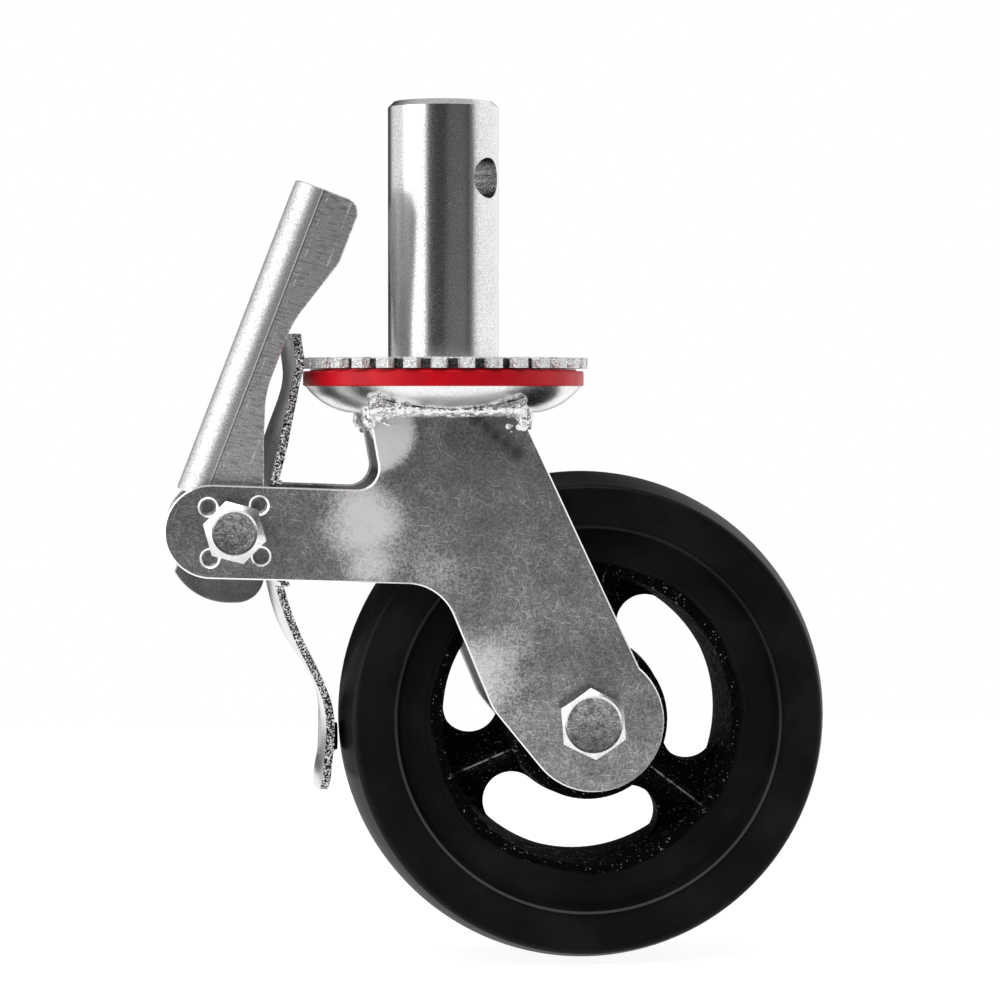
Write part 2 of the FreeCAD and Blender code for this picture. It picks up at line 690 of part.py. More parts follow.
def make_axle_sleeve():
    """The hardened tube clamped between the plates, on which the wheel's rollers run."""
    return tube(AXLE_SLEEVE_DIA / 2, AXLE_DIA / 2 + BOLT_CLEARANCE, -plate_inner, plate_inner,
                axle_centre, ALONG_Y)


def roller_size():
    """Radius of a roller and of the circle that the rollers' centres lie on."""
    pitch = (HUB_BORE_DIA + AXLE_SLEEVE_DIA) / 4
    radius = (HUB_BORE_DIA - AXLE_SLEEVE_DIA) / 4 - ROLLER_CLEARANCE
    return radius, pitch


def roller_set(extra_radius, extra_length):
    """The rollers of the wheel bearing, or the pockets for them."""
    radius, pitch = roller_size()
    length = ROLLER_LENGTH + extra_length
    base = axle_centre + V(pitch, -length / 2, 0)
    roller = Part.makeCylinder(radius + extra_radius, length, base, ALONG_Y)
    return Part.makeCompound(ring_of(roller, ROLLER_COUNT, axle_centre, ALONG_Y))


def make_roller_cage():
    """The thin cage that keeps the rollers apart."""
    pitch = roller_size()[1]
    cage = tube(pitch + CAGE_WALL / 2, pitch - CAGE_WALL / 2, -CAGE_LENGTH / 2, CAGE_LENGTH / 2,
                axle_centre, ALONG_Y)
    return cage.cut(roller_set(CAGE_POCKET_SPACE, CAGE_POCKET_SPACE * 2))


def make_thrust_washers():
    """The two washers that run between the hub's ends and the plates."""
    gap = (plate_inner - HUB_WIDTH / 2 - THRUST_WASHER_THICKNESS) / 2
    inner = AXLE_SLEEVE_DIA / 2 + BOLT_CLEARANCE
    washers = []
    for low in (-plate_inner + gap, plate_inner - gap - THRUST_WASHER_THICKNESS):
        washers.append(tube(THRUST_WASHER_DIA / 2, inner, low, low + THRUST_WASHER_THICKNESS,
                            axle_centre, ALONG_Y))
    return Part.makeCompound(washers)


def make_washer(washer_dia, bolt_dia, thickness, centre):
    """A flat washer on the far plate, under a nut."""
    return tube(washer_dia / 2, bolt_dia / 2 + BOLT_CLEARANCE, plate_outer, plate_outer + thickness,
                centre, ALONG_Y)


def make_axle_bolt():
    """The bolt that carries the wheel."""
    end = plate_outer + AXLE_WASHER_THICKNESS + AXLE_NUT_HEIGHT + THREAD_END
    return hex_bolt(AXLE_DIA, AXLE_HEAD_FLATS, AXLE_HEAD_FACE_DIA, AXLE_HEAD_HEIGHT, -plate_outer, end,
                    axle_centre, AXLE_HEAD_TURN)


def make_pivot_bolt():
    """The bolt that the lever turns on."""
    end = plate_outer + PIVOT_WASHER_THICKNESS + PIVOT_NUT_HEIGHT + THREAD_END
    return hex_bolt(PIVOT_BOLT_DIA, PIVOT_HEAD_FLATS, PIVOT_HEAD_FACE_DIA, PIVOT_HEAD_HEIGHT, -plate_outer,
                    end, pivot_centre, PIVOT_HEAD_TURN)


def make_pivot_sleeve():
    """The tube clamped between the arms that the lever's cheeks turn on."""
    return tube(PIVOT_SLEEVE_DIA / 2, PIVOT_BOLT_DIA / 2 + BOLT_CLEARANCE, -plate_inner, plate_inner,
                pivot_centre, ALONG_Y)


def lever_point(depth, along):
    """A point in the lever's own slanted frame, measured from the pivot, on the XZ plane."""
    tilt = math.radians(LEVER_TILT)
    x = -PIVOT_BACK + depth * math.cos(tilt) + along * math.sin(tilt)
    z = -PIVOT_DROP - depth * math.sin(tilt) + along * math.cos(tilt)
    return x, z


def lever_outline():
    """The side of the lever: head, waist, straight hip along the leaf and the cam below the pivot."""
    outside = -LEVER_WEB_DEPTH - LEVER_SHEET
    head = LEVER_HEAD_DEPTH - LEVER_WEB_DEPTH
    waist = LEVER_WAIST_DEPTH - LEVER_WEB_DEPTH
    waist_top = LEVER_LENGTH - LEVER_HEAD_LENGTH - LEVER_HEAD_SLOPE
    waist_radius = min(LEVER_WAIST_RADIUS, (waist_top - LEVER_WAIST_BOTTOM) * LEVER_WAIST_FULLNESS)
    face_x = -PIVOT_BACK + CAM_RELEASED_REACH
    heel_x = -PIVOT_BACK - CAM_HEEL_REACH
    cam_z = -PIVOT_DROP - CAM_LOCKED_REACH
    return [
        (*lever_point(outside, LEVER_LENGTH), 0),
        (*lever_point(head, LEVER_LENGTH), LEVER_HEAD_RADIUS),
        (*lever_point(head, LEVER_LENGTH - LEVER_HEAD_LENGTH), LEVER_HIP_RADIUS),
        (*lever_point(waist, waist_top), waist_radius),
        (*lever_point(waist, LEVER_WAIST_BOTTOM), waist_radius),
        (face_x, -PIVOT_DROP + LEVER_HIP_RISE, LEVER_HIP_RADIUS),
        (face_x, cam_z, CAM_TOE_RADIUS),
        (heel_x, cam_z, CAM_HEEL_RADIUS),
        (heel_x, -PIVOT_DROP + LEVER_HEEL_RISE, 0),
        (*lever_point(outside, LEVER_WEB_START), 0),
    ]


def channel_section():
    """The folded sheet's U section, drawn with its web at the back and its mouth towards the leaf."""
    half = lever_half_width
    back = -LEVER_WEB_DEPTH
    mouth = LEVER_WEB_DEPTH + CAM_LOCKED_REACH
    bend = LEVER_BEND_RADIUS
    sheet = LEVER_SHEET
    corners = [
        (mouth, -half, 0),
        (back, -half, bend),
        (back, half, bend),
        (mouth, half, 0),
        (mouth, half - sheet, 0),
        (back + sheet, half - sheet, bend - sheet),
        (back + sheet, -half + sheet, bend - sheet),
        (mouth, -half + sheet, 0),
    ]
    return outline_face(corners, lambda u, v: V(u, v, 0))


def make_brake_lever():
    """The pedal, one sheet folded to a channel and cut to a cam at each cheek's foot."""
    foot = CAM_LOCKED_REACH + CAM_HEEL_REACH
    section = channel_section()
    section.translate(V(0, 0, -foot))
    channel = section.extrude(V(0, 0, foot + LEVER_LENGTH))
    relief = Part.makeBox(LEVER_BEND_RADIUS + LEVER_SHEET, lever_half_width * 2, foot + LEVER_WEB_START,
                          V(-LEVER_WEB_DEPTH - LEVER_SHEET, -lever_half_width, -foot))
    channel = channel.cut(relief)
    channel.rotate(V(0, 0, 0), ALONG_Y, LEVER_TILT)
    channel.translate(pivot_centre)
    blank = outline_face(lever_outline(), side_view).extrude(V(0, lever_half_width * 2, 0))
    blank.translate(V(0, -lever_half_width, 0))
    lever = channel.common(blank).removeSplitter()
    rims = [edge for edge in lever.Edges
            if edge.BoundBox.YLength < TINY and abs(edge.BoundBox.YMax) > lever_half_width - TINY]
    hips = [edge for edge in rims if edge.BoundBox.XMax > -PIVOT_BACK - CAM_HEEL_REACH]
    lever = lever.makeChamfer(LEVER_EDGE, hips)
    hole_radius = PIVOT_SLEEVE_DIA / 2 + PIVOT_RUNNING_CLEARANCE
    hole_start = pivot_centre - ALONG_Y * lever_half_width
    return lever.cut(Part.makeCylinder(hole_radius, lever_half_width * 2, hole_start, ALONG_Y))


def tread_x(drop):
    """The tread's nearest point to the leaf, at the wheel's middle plane."""
    return WHEEL_TRAIL - math.sqrt((WHEEL_DIA / 2) ** 2 - (drop - AXLE_DROP) ** 2)


def leaf_anchors():
    """The convex face of the leaf at its head, at the cam and at its tail, on the middle plane."""
    head = -LOCK_DIA / 2 - LEAF_HEAD_CLEARANCE - LEAF_THICKNESS
    gutter = LEAF_UPPER_STATIONS[-1][2] + LEAF_THICKNESS
    cheek = lever_half_width - LEVER_SHEET
    sag = gutter - math.sqrt(gutter ** 2 - cheek ** 2)
    middle = -PIVOT_BACK + CAM_RELEASED_REACH + LEAF_CAM_CLEARANCE - sag
    tail = tread_x(PAD_DROP) - LEAF_TAIL_CLEARANCE - LEAF_THICKNESS
    return head, middle, tail


def leaf_section(height, belly, gutter):
    """One level section of the leaf, a band between two arcs round the same centre."""
    half = LEAF_SHOULDER_WIDTH / 2 + LEAF_THICKNESS
    centre = belly + LEAF_THICKNESS + gutter
    edges = []
    ends = []
    for radius in (gutter + LEAF_THICKNESS, gutter):
        edge_x = centre - math.sqrt(radius ** 2 - half ** 2)
        start = V(edge_x, -half, height)
        end = V(edge_x, half, height)
        edges.append(Part.Arc(start, V(centre - radius, 0, height), end).toShape())
        ends.append((start, end))
    sides = [Part.LineSegment(ends[0][i], ends[1][i]).toShape() for i in (0, 1)]
    return Part.Wire([edges[0], sides[1], edges[1], sides[0]])


def leaf_band():
    """The bowed and guttered band that the leaf's outline is cut from."""
    head, middle, tail = leaf_anchors()
    upper_length = LEAF_HEAD_RISE + PIVOT_DROP
    sections = []
    for along, bow, gutter in LEAF_UPPER_STATIONS:
        sections.append(leaf_section(LEAF_HEAD_RISE - along * upper_length,
                                     head + bow * (middle - head), gutter))
    for along, bow, gutter in LEAF_LOWER_STATIONS:
        sections.append(leaf_section(-PIVOT_DROP - along * LEAF_TAIL_DROP,
                                     middle + bow * (tail - middle), gutter))
    return Part.makeLoft(sections, True, False)


def leaf_outline():
    """The flat shape of the leaf seen along +X, with the notches that seat it between the arms."""
    notch_top = -PIVOT_DROP + ARM_HEIGHT / 2 - ARM_ROOT_EXTRA_TOP * LEAF_ARM_SHARE + LEAF_ARM_CLEARANCE
    notch_bottom = -PIVOT_DROP - ARM_HEIGHT / 2 - ARM_ROOT_EXTRA_BOTTOM * LEAF_ARM_SHARE - LEAF_ARM_CLEARANCE
    shoulder = LEAF_SHOULDER_WIDTH / 2
    waist = plate_inner - LEAF_SIDE_CLEARANCE
    upper = notch_top + LEAF_SHOULDER_HEIGHT
    lower = notch_bottom - LEAF_SHOULDER_HEIGHT
    head = LEAF_HEAD_WIDTH / 2
    neck = LEAF_NECK_WIDTH / 2
    flare = LEAF_FLARE_WIDTH / 2
    tail = LEAF_TAIL_WIDTH / 2
    tail_end = -PIVOT_DROP - LEAF_TAIL_DROP
    half = [
        (head, LEAF_HEAD_RISE, LEAF_HEAD_RADIUS),
        (head, LEAF_HEAD_RISE - LEAF_HEAD_LENGTH, LEAF_BLEND_RADIUS),
        (neck, -LEAF_NECK_DROP, LEAF_BLEND_RADIUS),
        (flare, upper, LEAF_SHOULDER_RADIUS),
        (shoulder, upper, LEAF_SHOULDER_RADIUS),
        (shoulder, notch_top, 0),
        (waist, notch_top, 0),
        (waist, notch_bottom, 0),
        (shoulder, notch_bottom, 0),
        (shoulder, lower, LEAF_SHOULDER_RADIUS),
        (LEAF_LOWER_WIDTH / 2, lower, LEAF_SHOULDER_RADIUS),
        (tail, lower - LEAF_TAIL_TAPER, LEAF_TAIL_TAPER),
        (tail, tail_end, LEAF_TAIL_RADIUS),
    ]
    return half + [(-y, z, radius) for y, z, radius in reversed(half)]


def make_brake_leaf():
    """The strap that the cam bends straight: its head locks the swivel and its tail the tyre."""
    blank = outline_face(leaf_outline(), front_view).extrude(V(PIVOT_BACK, 0, 0))
    blank.translate(V(-PIVOT_BACK, 0, 0))
    leaf = leaf_band().common(blank)
    hole_start = V(-PIVOT_BACK, 0, -PAD_DROP)
    return leaf.cut(Part.makeCylinder(PAD_STEM_DIA / 2 + BOLT_CLEARANCE, PIVOT_BACK, hole_start, V(1, 0, 0)))


def make_brake_pad():
    """The rubber stud in the leaf's tail that presses the tread."""
    tail = leaf_anchors()[2]
    seat = tail + LEAF_THICKNESS + PAD_SEAT_CLEARANCE
    height = tread_x(PAD_DROP) - PAD_CLEARANCE - seat
    forward = V(1, 0, 0)
    stud = Part.makeCone(PAD_BASE_DIA / 2, PAD_TIP_DIA / 2, height, V(seat, 0, -PAD_DROP), forward)
    stem = Part.makeCylinder(PAD_STEM_DIA / 2, seat - tail, V(tail, 0, -PAD_DROP), forward)
    return stud.fuse(stem).removeSplitter()


def build_part():
    """Every piece of the castor under its node's name."""
    bowl = make_swivel_bowl()
    near = make_fork_plate(-1)
    far = make_fork_plate(1)
    weld = make_weld(far, bowl)
    far_axle_nut = plate_outer + AXLE_WASHER_THICKNESS
    far_pivot_nut = plate_outer + PIVOT_WASHER_THICKNESS
    return {
        "stem": make_stem(),
        "lock_plate": make_lock_plate(),
        "race_sleeve": make_race_sleeve(),
        "lower_cup": make_lower_cup(),
        "kingpin_washer": make_kingpin_washer(),
        "kingpin_nut": make_kingpin_nut(),
        "upper_balls": ball_row(UPPER_BALL_PITCH_DIA, UPPER_BALL_DIA, UPPER_BALL_SPACE, upper_ball_z),
        "lower_balls": ball_row(LOWER_BALL_PITCH_DIA, LOWER_BALL_DIA, LOWER_BALL_SPACE, lower_ball_z),
        "swivel_bowl": bowl,
        "dust_ring": make_dust_ring(),
        "fork_plate_near": near,
        "fork_plate_far": far,
        "fork_weld_near": weld.mirror(V(0, 0, 0), ALONG_Y),
        "fork_weld_far": weld,
        "axle_bolt": make_axle_bolt(),
        "axle_washer": make_washer(AXLE_WASHER_DIA, AXLE_DIA, AXLE_WASHER_THICKNESS, axle_centre),
        "axle_nut": hex_nut(AXLE_DIA, AXLE_HEAD_FLATS, far_axle_nut, AXLE_NUT_HEIGHT, axle_centre,
                            AXLE_HEAD_TURN),
        "axle_sleeve": make_axle_sleeve(),
        "bearing_rollers": roller_set(0, 0),
        "roller_cage": make_roller_cage(),
        "thrust_washers": make_thrust_washers(),
        "wheel_core": make_wheel_core(),
        "tyre": make_tyre(),
        "pivot_bolt": make_pivot_bolt(),
        "pivot_washer": make_washer(PIVOT_WASHER_DIA, PIVOT_BOLT_DIA, PIVOT_WASHER_THICKNESS, pivot_centre),
        "pivot_nut": hex_nut(PIVOT_BOLT_DIA, PIVOT_HEAD_FLATS, far_pivot_nut, PIVOT_NUT_HEIGHT,
                             pivot_centre, PIVOT_HEAD_TURN),
        "pivot_sleeve": make_pivot_sleeve(),
        "brake_lever": make_brake_lever(),
        "brake_leaf": make_brake_leaf(),
        "brake_pad": make_brake_pad(),
    }


os.makedirs("parts", exist_ok=True)
for node, shape in build_part().items():
    shape.exportStep(f"parts/{node}.step")
    box = shape.BoundBox
    print(node, len(shape.Solids), shape.isValid(), round(shape.Volume, 1),
          [round(value, 1) for value in (box.XMin, box.XMax, box.YMin, box.YMax, box.ZMin, box.ZMax)])
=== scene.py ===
# %% [markdown]
# # A scaffold castor, dressed for its photograph
# The solids of this castor come from a CAD program and are already the right shape and size.
# Blender's job is what a solid can't say: how zinc plate, sand cast iron, moulded rubber and
# a rough sheared edge look, and the small forms that are too fine to be turned or cut in CAD.

import math
import random

import bmesh
import bpy
from mathutils import Matrix, Vector, noise


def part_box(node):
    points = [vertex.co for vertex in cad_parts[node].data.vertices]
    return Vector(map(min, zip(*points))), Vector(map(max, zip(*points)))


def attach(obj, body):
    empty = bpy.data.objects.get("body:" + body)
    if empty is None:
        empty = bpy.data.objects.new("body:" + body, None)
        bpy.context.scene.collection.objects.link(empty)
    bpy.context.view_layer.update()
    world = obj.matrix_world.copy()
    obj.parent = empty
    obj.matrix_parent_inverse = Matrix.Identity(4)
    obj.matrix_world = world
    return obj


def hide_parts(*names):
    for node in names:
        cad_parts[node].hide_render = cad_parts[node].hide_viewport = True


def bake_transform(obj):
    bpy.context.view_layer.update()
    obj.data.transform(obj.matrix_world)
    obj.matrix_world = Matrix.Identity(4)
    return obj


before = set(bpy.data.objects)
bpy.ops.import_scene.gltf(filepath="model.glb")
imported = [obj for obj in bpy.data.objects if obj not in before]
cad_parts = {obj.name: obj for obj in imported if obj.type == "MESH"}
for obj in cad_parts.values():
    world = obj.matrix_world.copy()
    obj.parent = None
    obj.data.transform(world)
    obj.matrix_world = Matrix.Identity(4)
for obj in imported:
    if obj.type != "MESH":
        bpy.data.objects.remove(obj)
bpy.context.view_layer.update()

# %% Places and sizes that the solids are built on
MM = 0.001
AXLE = Vector((43.0, 0.0, -111.3)) * MM
PIVOT = Vector((-65.4, 0.0, -52.8)) * MM
LEVER_TILT = math.radians(21.2)
WHEEL_BOTTOM = AXLE.z - 76.0 * MM
print("axle", AXLE, "pivot", PIVOT)

# %% [markdown]
# ## The camera
# A product photographer stands well back with a long lens, so that the wheel isn't swollen by
# perspective. The camera sits a little to the lever's side and almost level with the top of the
# fork. It is tipped down a degree or two, which puts the castor in the middle of the frame.

# %% Camera
CAMERA_PLACE = Vector((-74.2, -1072.5, -10.0)) * MM
CAMERA_TURN = math.radians(-4.9)
CAMERA_TIP = math.radians(1.83)
LENS_MM = 123.84

lens = bpy.data.cameras.new("photo_lens")
lens.lens = LENS_MM
lens.sensor_width = 36.0
lens.clip_start = 0.01
camera = bpy.data.objects.new("photo_camera", lens)
camera.location = CAMERA_PLACE
camera.rotation_euler = (math.pi / 2 - CAMERA_TIP, 0.0, CAMERA_TURN)
bpy.context.collection.objects.link(camera)
bpy.context.scene.camera = camera
bpy.context.scene.view_settings.view_transform = "Standard"
print("camera at", tuple(round(v, 3) for v in camera.location))

# %% [markdown]
# ## Node helpers
# Every finish below is a small network of shader nodes. Two helpers keep those networks short:
# one adds a node and fills its sockets, and one starts a node group with named inputs and outputs.

# %% Helpers for nodes
def add_node(tree, kind, inputs=None, **settings):
    """Adds one shader node. A value in inputs is a constant or another node's output."""
    node = tree.nodes.new("ShaderNode" + kind)
    for name, value in settings.items():
        setattr(node, name, value)
    for socket, value in (inputs or {}).items():
        if isinstance(value, bpy.types.NodeSocket):
            tree.links.new(value, node.inputs[socket])
        else:
            node.inputs[socket].default_value = value
    return node


def math_node(tree, operation, *values):
    """One Math node's output."""
    return add_node(tree, "Math", dict(enumerate(values)), operation=operation).outputs[0]


def ramp(tree, value, low, high, out_low=0.0, out_high=1.0):
    """A value carried smoothly from one range to another."""
    sockets = {"Value": value, "From Min": low, "From Max": high, "To Min": out_low, "To Max": out_high}
    return add_node(tree, "MapRange", sockets, interpolation_type="SMOOTHSTEP").outputs["Result"]


def blend_colour(tree, factor, first, second):
    """Two colours mixed by a mask."""
    node = add_node(tree, "Mix", {0: factor, 6: first, 7: second}, data_type="RGBA")
    return node.outputs[2]


def new_group(name, inputs, outputs):
    """An empty node group with its sockets, and the nodes that bring values in and out."""
    group = bpy.data.node_groups.new(name, "ShaderNodeTree")
    for label, kind, value in inputs:
        socket = group.interface.new_socket(label, in_out="INPUT", socket_type="NodeSocket" + kind)
        if value is not None:
            socket.default_value = value
    for label, kind in outputs:
        group.interface.new_socket(label, in_out="OUTPUT", socket_type="NodeSocket" + kind)
    entry = group.nodes.new("NodeGroupInput")
    leave = group.nodes.new("NodeGroupOutput")
    return group, entry.outputs, leave.inputs


def new_material(name, **constants):
    """A material and its Principled shader, with the given sockets set."""
    material = bpy.data.materials.new(name)
    material.use_nodes = True
    shader = material.node_tree.nodes["Principled BSDF"]
    for socket, value in constants.items():
        shader.inputs[socket.replace("_", " ")].default_value = value
    return material, shader


def grey(value, warmth=0.0):
    """A grey as a linear colour, a little warmer or cooler."""
    return (value * (1 + warmth), value, value * (1 - warmth), 1.0)

# %% [markdown]
# ## Masks
# A finish is seldom the same all over. Where hands or tools have scuffed it, where a weld has scorched
# it, or where a sheet was cut, it changes, and in some places light or shade is painted into it as
# well. Each helper below turns a place on the piece into a mask from nought to one, which a finish
# can then use.

# %% Helpers for masks
def axis_value(tree, vector, axis):
    """One coordinate of a vector, by its letter."""
    return add_node(tree, "SeparateXYZ", {0: vector}).outputs[axis]


def spot(tree, place, centre, radius, core=0.2):
    """A soft round mask seen from the front: one inside the core, nought beyond the radius."""
    flat = add_node(tree, "VectorMath", {0: place, 1: (1.0, 0.0, 1.0)}, operation="MULTIPLY").outputs[0]
    middle = (centre[0] * MM, 0.0, centre[1] * MM)
    away = add_node(tree, "VectorMath", {0: flat, 1: middle}, operation="DISTANCE").outputs["Value"]
    return ramp(tree, away, radius * core * MM, radius * MM, 1.0, 0.0)


def band(tree, value, low, high, soft):
    """One between two values and nought outside them, with soft borders."""
    rise = ramp(tree, value, low - soft, low)
    fall = ramp(tree, value, high, high + soft, 1.0, 0.0)
    return math_node(tree, "MULTIPLY", rise, fall)


def most(tree, *masks):
    """The strongest of several masks."""
    strongest = masks[0]
    for mask in masks[1:]:
        strongest = math_node(tree, "MAXIMUM", strongest, mask)
    return strongest

# %% [markdown]
# ## Zinc plate
# Bright zinc isn't one even grey. The steel under it was rolled and handled, so the plate is
# cloudy over a centimetre or so, peppered with grain as fine as salt, and crossed by hair
# scratches that run every way, from tumbling with other parts. A stretched noise makes hairs in
# one direction, so five of them, each turned, make a tangle. The group also takes three masks:
# one lightens the zinc where it is burnished and also paints highlights, one darkens it for stains
# and also paints shade, and one makes a cut edge bright.

# %% The hairline group
hair_group, hair_in, hair_out = new_group(
    "hairlines",
    [("Vector", "Vector", None), ("Turn", "Float", 0.0), ("Fine", "Float", 4200.0), ("Long", "Float", 250.0),
     ("Few", "Float", 0.655)],
    [("Mask", "Float")],
)
turned = add_node(
    hair_group, "VectorRotate", {"Vector": hair_in["Vector"], "Angle": hair_in["Turn"]},
    rotation_type="Y_AXIS",
).outputs[0]
stretch = add_node(hair_group, "CombineXYZ", {0: hair_in["Fine"], 1: hair_in["Long"], 2: hair_in["Long"]})
drawn = add_node(
    hair_group, "VectorMath", {0: turned, 1: stretch.outputs[0]}, operation="MULTIPLY"
).outputs[0]
offset = add_node(hair_group, "VectorMath", {0: drawn, 1: (0.0, 0.0, 0.0)}, operation="ADD")
hair_group.links.new(math_node(hair_group, "MULTIPLY", hair_in["Turn"], 37.0), offset.inputs[1])
lines = add_node(hair_group, "TexNoise", {"Vector": offset.outputs[0], "Scale": 1.0, "Detail": 1.0})
strong = math_node(hair_group, "ADD", hair_in["Few"], 0.07)
found = add_node(
    hair_group, "MapRange",
    {"Value": lines.outputs["Fac"], "From Min": hair_in["Few"], "From Max": strong},
    interpolation_type="SMOOTHSTEP",
).outputs["Result"]
hair_group.links.new(found, hair_out["Mask"])


def hairs(tree, vector, turn, **values):
    """One direction of hairs."""
    node = add_node(tree, "Group", node_tree=hair_group)
    tree.links.new(vector, node.inputs["Vector"])
    node.inputs["Turn"].default_value = turn
    for socket, value in values.items():
        node.inputs[socket].default_value = value
    return node.outputs["Mask"]


# %% The zinc group
zinc_group, zinc_in, zinc_out = new_group(
    "zinc_plate",
    [
        ("Vector", "Vector", None),
        ("Bright", "Color", grey(0.72)),
        ("Dull", "Color", grey(0.38)),
        ("Cloud Scale", "Float", 70.0),
        ("Grain Scale", "Float", 2000.0),
        ("Cloudiness", "Float", 0.45),
        ("Scratches", "Float", 0.6),
        ("Smooth", "Float", 0.22),
        ("Rough", "Float", 0.42),
        ("Rubbed Gloss", "Float", 0.36),
        ("Metal", "Float", 1.0),
        ("Burnish and Highlight", "Float", 0.0),
        ("Stain and Shade", "Float", 0.0),
        ("Edge", "Float", 0.0),
    ],
    [("Color", "Color"), ("Roughness", "Float"), ("Metallic", "Float"), ("Height", "Float")],
)
HAIR_TURNS = (0.25, 0.95, 1.5, 2.1, 2.8)


def mix_value(tree, factor, first, second):
    """Two plain values mixed by a mask."""
    return add_node(tree, "Mix", {0: factor, 2: first, 3: second}, data_type="FLOAT").outputs[0]


clouds = add_node(
    zinc_group, "TexNoise",
    {"Vector": zinc_in["Vector"], "Scale": zinc_in["Cloud Scale"], "Detail": 4.0, "Roughness": 0.6},
)
grain = add_node(
    zinc_group, "TexNoise",
    {"Vector": zinc_in["Vector"], "Scale": zinc_in["Grain Scale"], "Detail": 2.0, "Roughness": 0.6},
)
cloud_mask = ramp(zinc_group, clouds.outputs["Fac"], 0.32, 0.68)
grain_mask = ramp(zinc_group, grain.outputs["Fac"], 0.33, 0.67)
tone = mix_value(zinc_group, zinc_in["Cloudiness"], grain_mask, cloud_mask)
tangle = most(zinc_group, *[hairs(zinc_group, zinc_in["Vector"], turn) for turn in HAIR_TURNS])
gate = math_node(zinc_group, "MULTIPLY_ADD", cloud_mask, 0.75, 0.25)
tangle = math_node(zinc_group, "MULTIPLY", tangle, gate)
tangle = math_node(zinc_group, "MULTIPLY", tangle, zinc_in["Scratches"])
ragged = math_node(
    zinc_group, "ADD", zinc_in["Burnish and Highlight"], math_node(zinc_group, "MULTIPLY_ADD", tone, 0.5, -0.35)
)
# Burnished zinc and painted highlights: this mask lightens the colour and smooths the gloss.
rubbed_and_highlit = ramp(zinc_group, ragged, 0.0, 0.95)
patchy = math_node(zinc_group, "MULTIPLY_ADD", clouds.outputs["Fac"], 0.8, 0.4)
# Stains, and painted shade where a mask darkens a hollow or the side of a crease.
stain_and_shade = math_node(zinc_group, "MULTIPLY", zinc_in["Stain and Shade"], patchy)
plated = blend_colour(zinc_group, tone, zinc_in["Dull"], zinc_in["Bright"])
scored = blend_colour(zinc_group, tangle, plated, grey(0.95))
shiny = blend_colour(zinc_group, rubbed_and_highlit, scored, grey(0.97))
stained_and_shaded = blend_colour(zinc_group, stain_and_shade, shiny, grey(0.05))
finished = blend_colour(zinc_group, zinc_in["Edge"], stained_and_shaded, grey(0.97))
dulled = mix_value(zinc_group, tone, zinc_in["Rough"], zinc_in["Smooth"])
polished = mix_value(zinc_group, rubbed_and_highlit, dulled, zinc_in["Rubbed Gloss"])
gloss = mix_value(zinc_group, zinc_in["Edge"], polished, 0.16)
zinc_group.links.new(finished, zinc_out["Color"])
zinc_group.links.new(gloss, zinc_out["Roughness"])
kept = math_node(zinc_group, "MULTIPLY_ADD", rubbed_and_highlit, -0.6, 1.0)
zinc_group.links.new(math_node(zinc_group, "MULTIPLY", kept, zinc_in["Metal"]), zinc_out["Metallic"])
zinc_group.links.new(math_node(zinc_group, "MULTIPLY_ADD", tangle, -0.5, grain_mask), zinc_out["Height"])
print("zinc groups:", hair_group.name, zinc_group.name)

# %% Zinc finishes
def zinc_material(name, bump=0.25, bump_mm=0.03, masks=None, metallic=1.0, **values):
    """A zinc finish: the group on the piece's own coordinates, with its values and masks set."""
    material, shader = new_material(name)
    tree = material.node_tree
    place = add_node(tree, "TexCoord").outputs["Object"]
    zinc = add_node(tree, "Group", node_tree=zinc_group)
    zinc.inputs["Metal"].default_value = metallic
    tree.links.new(place, zinc.inputs["Vector"])
    for socket, value in values.items():
        zinc.inputs[socket.replace("_", " ")].default_value = value
    for socket, mask in (masks(tree, place) if masks else {}).items():
        tree.links.new(mask, zinc.inputs[socket])
    relief = add_node(tree, "Bump", {"Strength": bump, "Distance": bump_mm * MM,
                                     "Height": zinc.outputs["Height"]})
    tree.links.new(zinc.outputs["Color"], shader.inputs["Base Color"])
    tree.links.new(zinc.outputs["Roughness"], shader.inputs["Roughness"])
    tree.links.new(zinc.outputs["Metallic"], shader.inputs["Metallic"])
    tree.links.new(relief.outputs[0], shader.inputs["Normal"])
    return material


# All of these are in millimetres. A spot is its place across and up, radius, core and strength.
PLATE_OUTER = 31.4
HEAT_SPOTS = (
    (13.0, -24.5, 12.0, 0.2, 0.5), (3.0, -24.0, 10.0, 0.2, 0.45), (-72.0, -50.0, 24.0, 0.2, 0.3),
    (51.0, -90.0, 20.0, 0.2, 0.32), (8.0, -18.8, 5.0, 0.0, 0.95), (11.0, -21.35, 5.0, 0.0, 0.95),
    (14.0, -23.9, 5.0, 0.0, 0.95), (17.0, -26.45, 5.0, 0.0, 0.95), (20.0, -29.0, 5.0, 0.0, 0.95),
)
# Burnished patches, smoother and with a painted highlight in their colour.
BURNISH_HIGHLIGHT_SPOTS = (
    (-26.0, -49.0, 20.0, 0.15, 1.0), (-24.0, -63.0, 14.0, 0.1, 0.75), (-22.5, -23.0, 15.0, 0.6, 1.0),
    (9.0, -98.0, 24.0, 0.1, 0.8), (-8.0, -66.0, 20.0, 0.1, 0.4),
)
DIMPLES_REACH = 15.0
CORNER_SOFT = 0.08
# Places across the lever's cheek, behind the pivot: a painted highlight at the fold's edge, painted shade
# beside it, and thin bright lines.
CHEEK_TANGENT = (-12.3, -12.15)
CHEEK_SHADOW = (-11.9, -11.7)
CHEEK_MIDDLE = (-10.2, -10.0)
CHEEK_BORDER = (-2.9, -2.65)
CHEEK_SOFT = 0.12
CHEEK_START = (-12.4, -11.4)
# The painted highlight on the fold fades out across this span.
BEND = (-16.0, -12.2)
# The span over which the cam grows darker towards its foot.
DARK_FOOT = (5.0, 9.0)
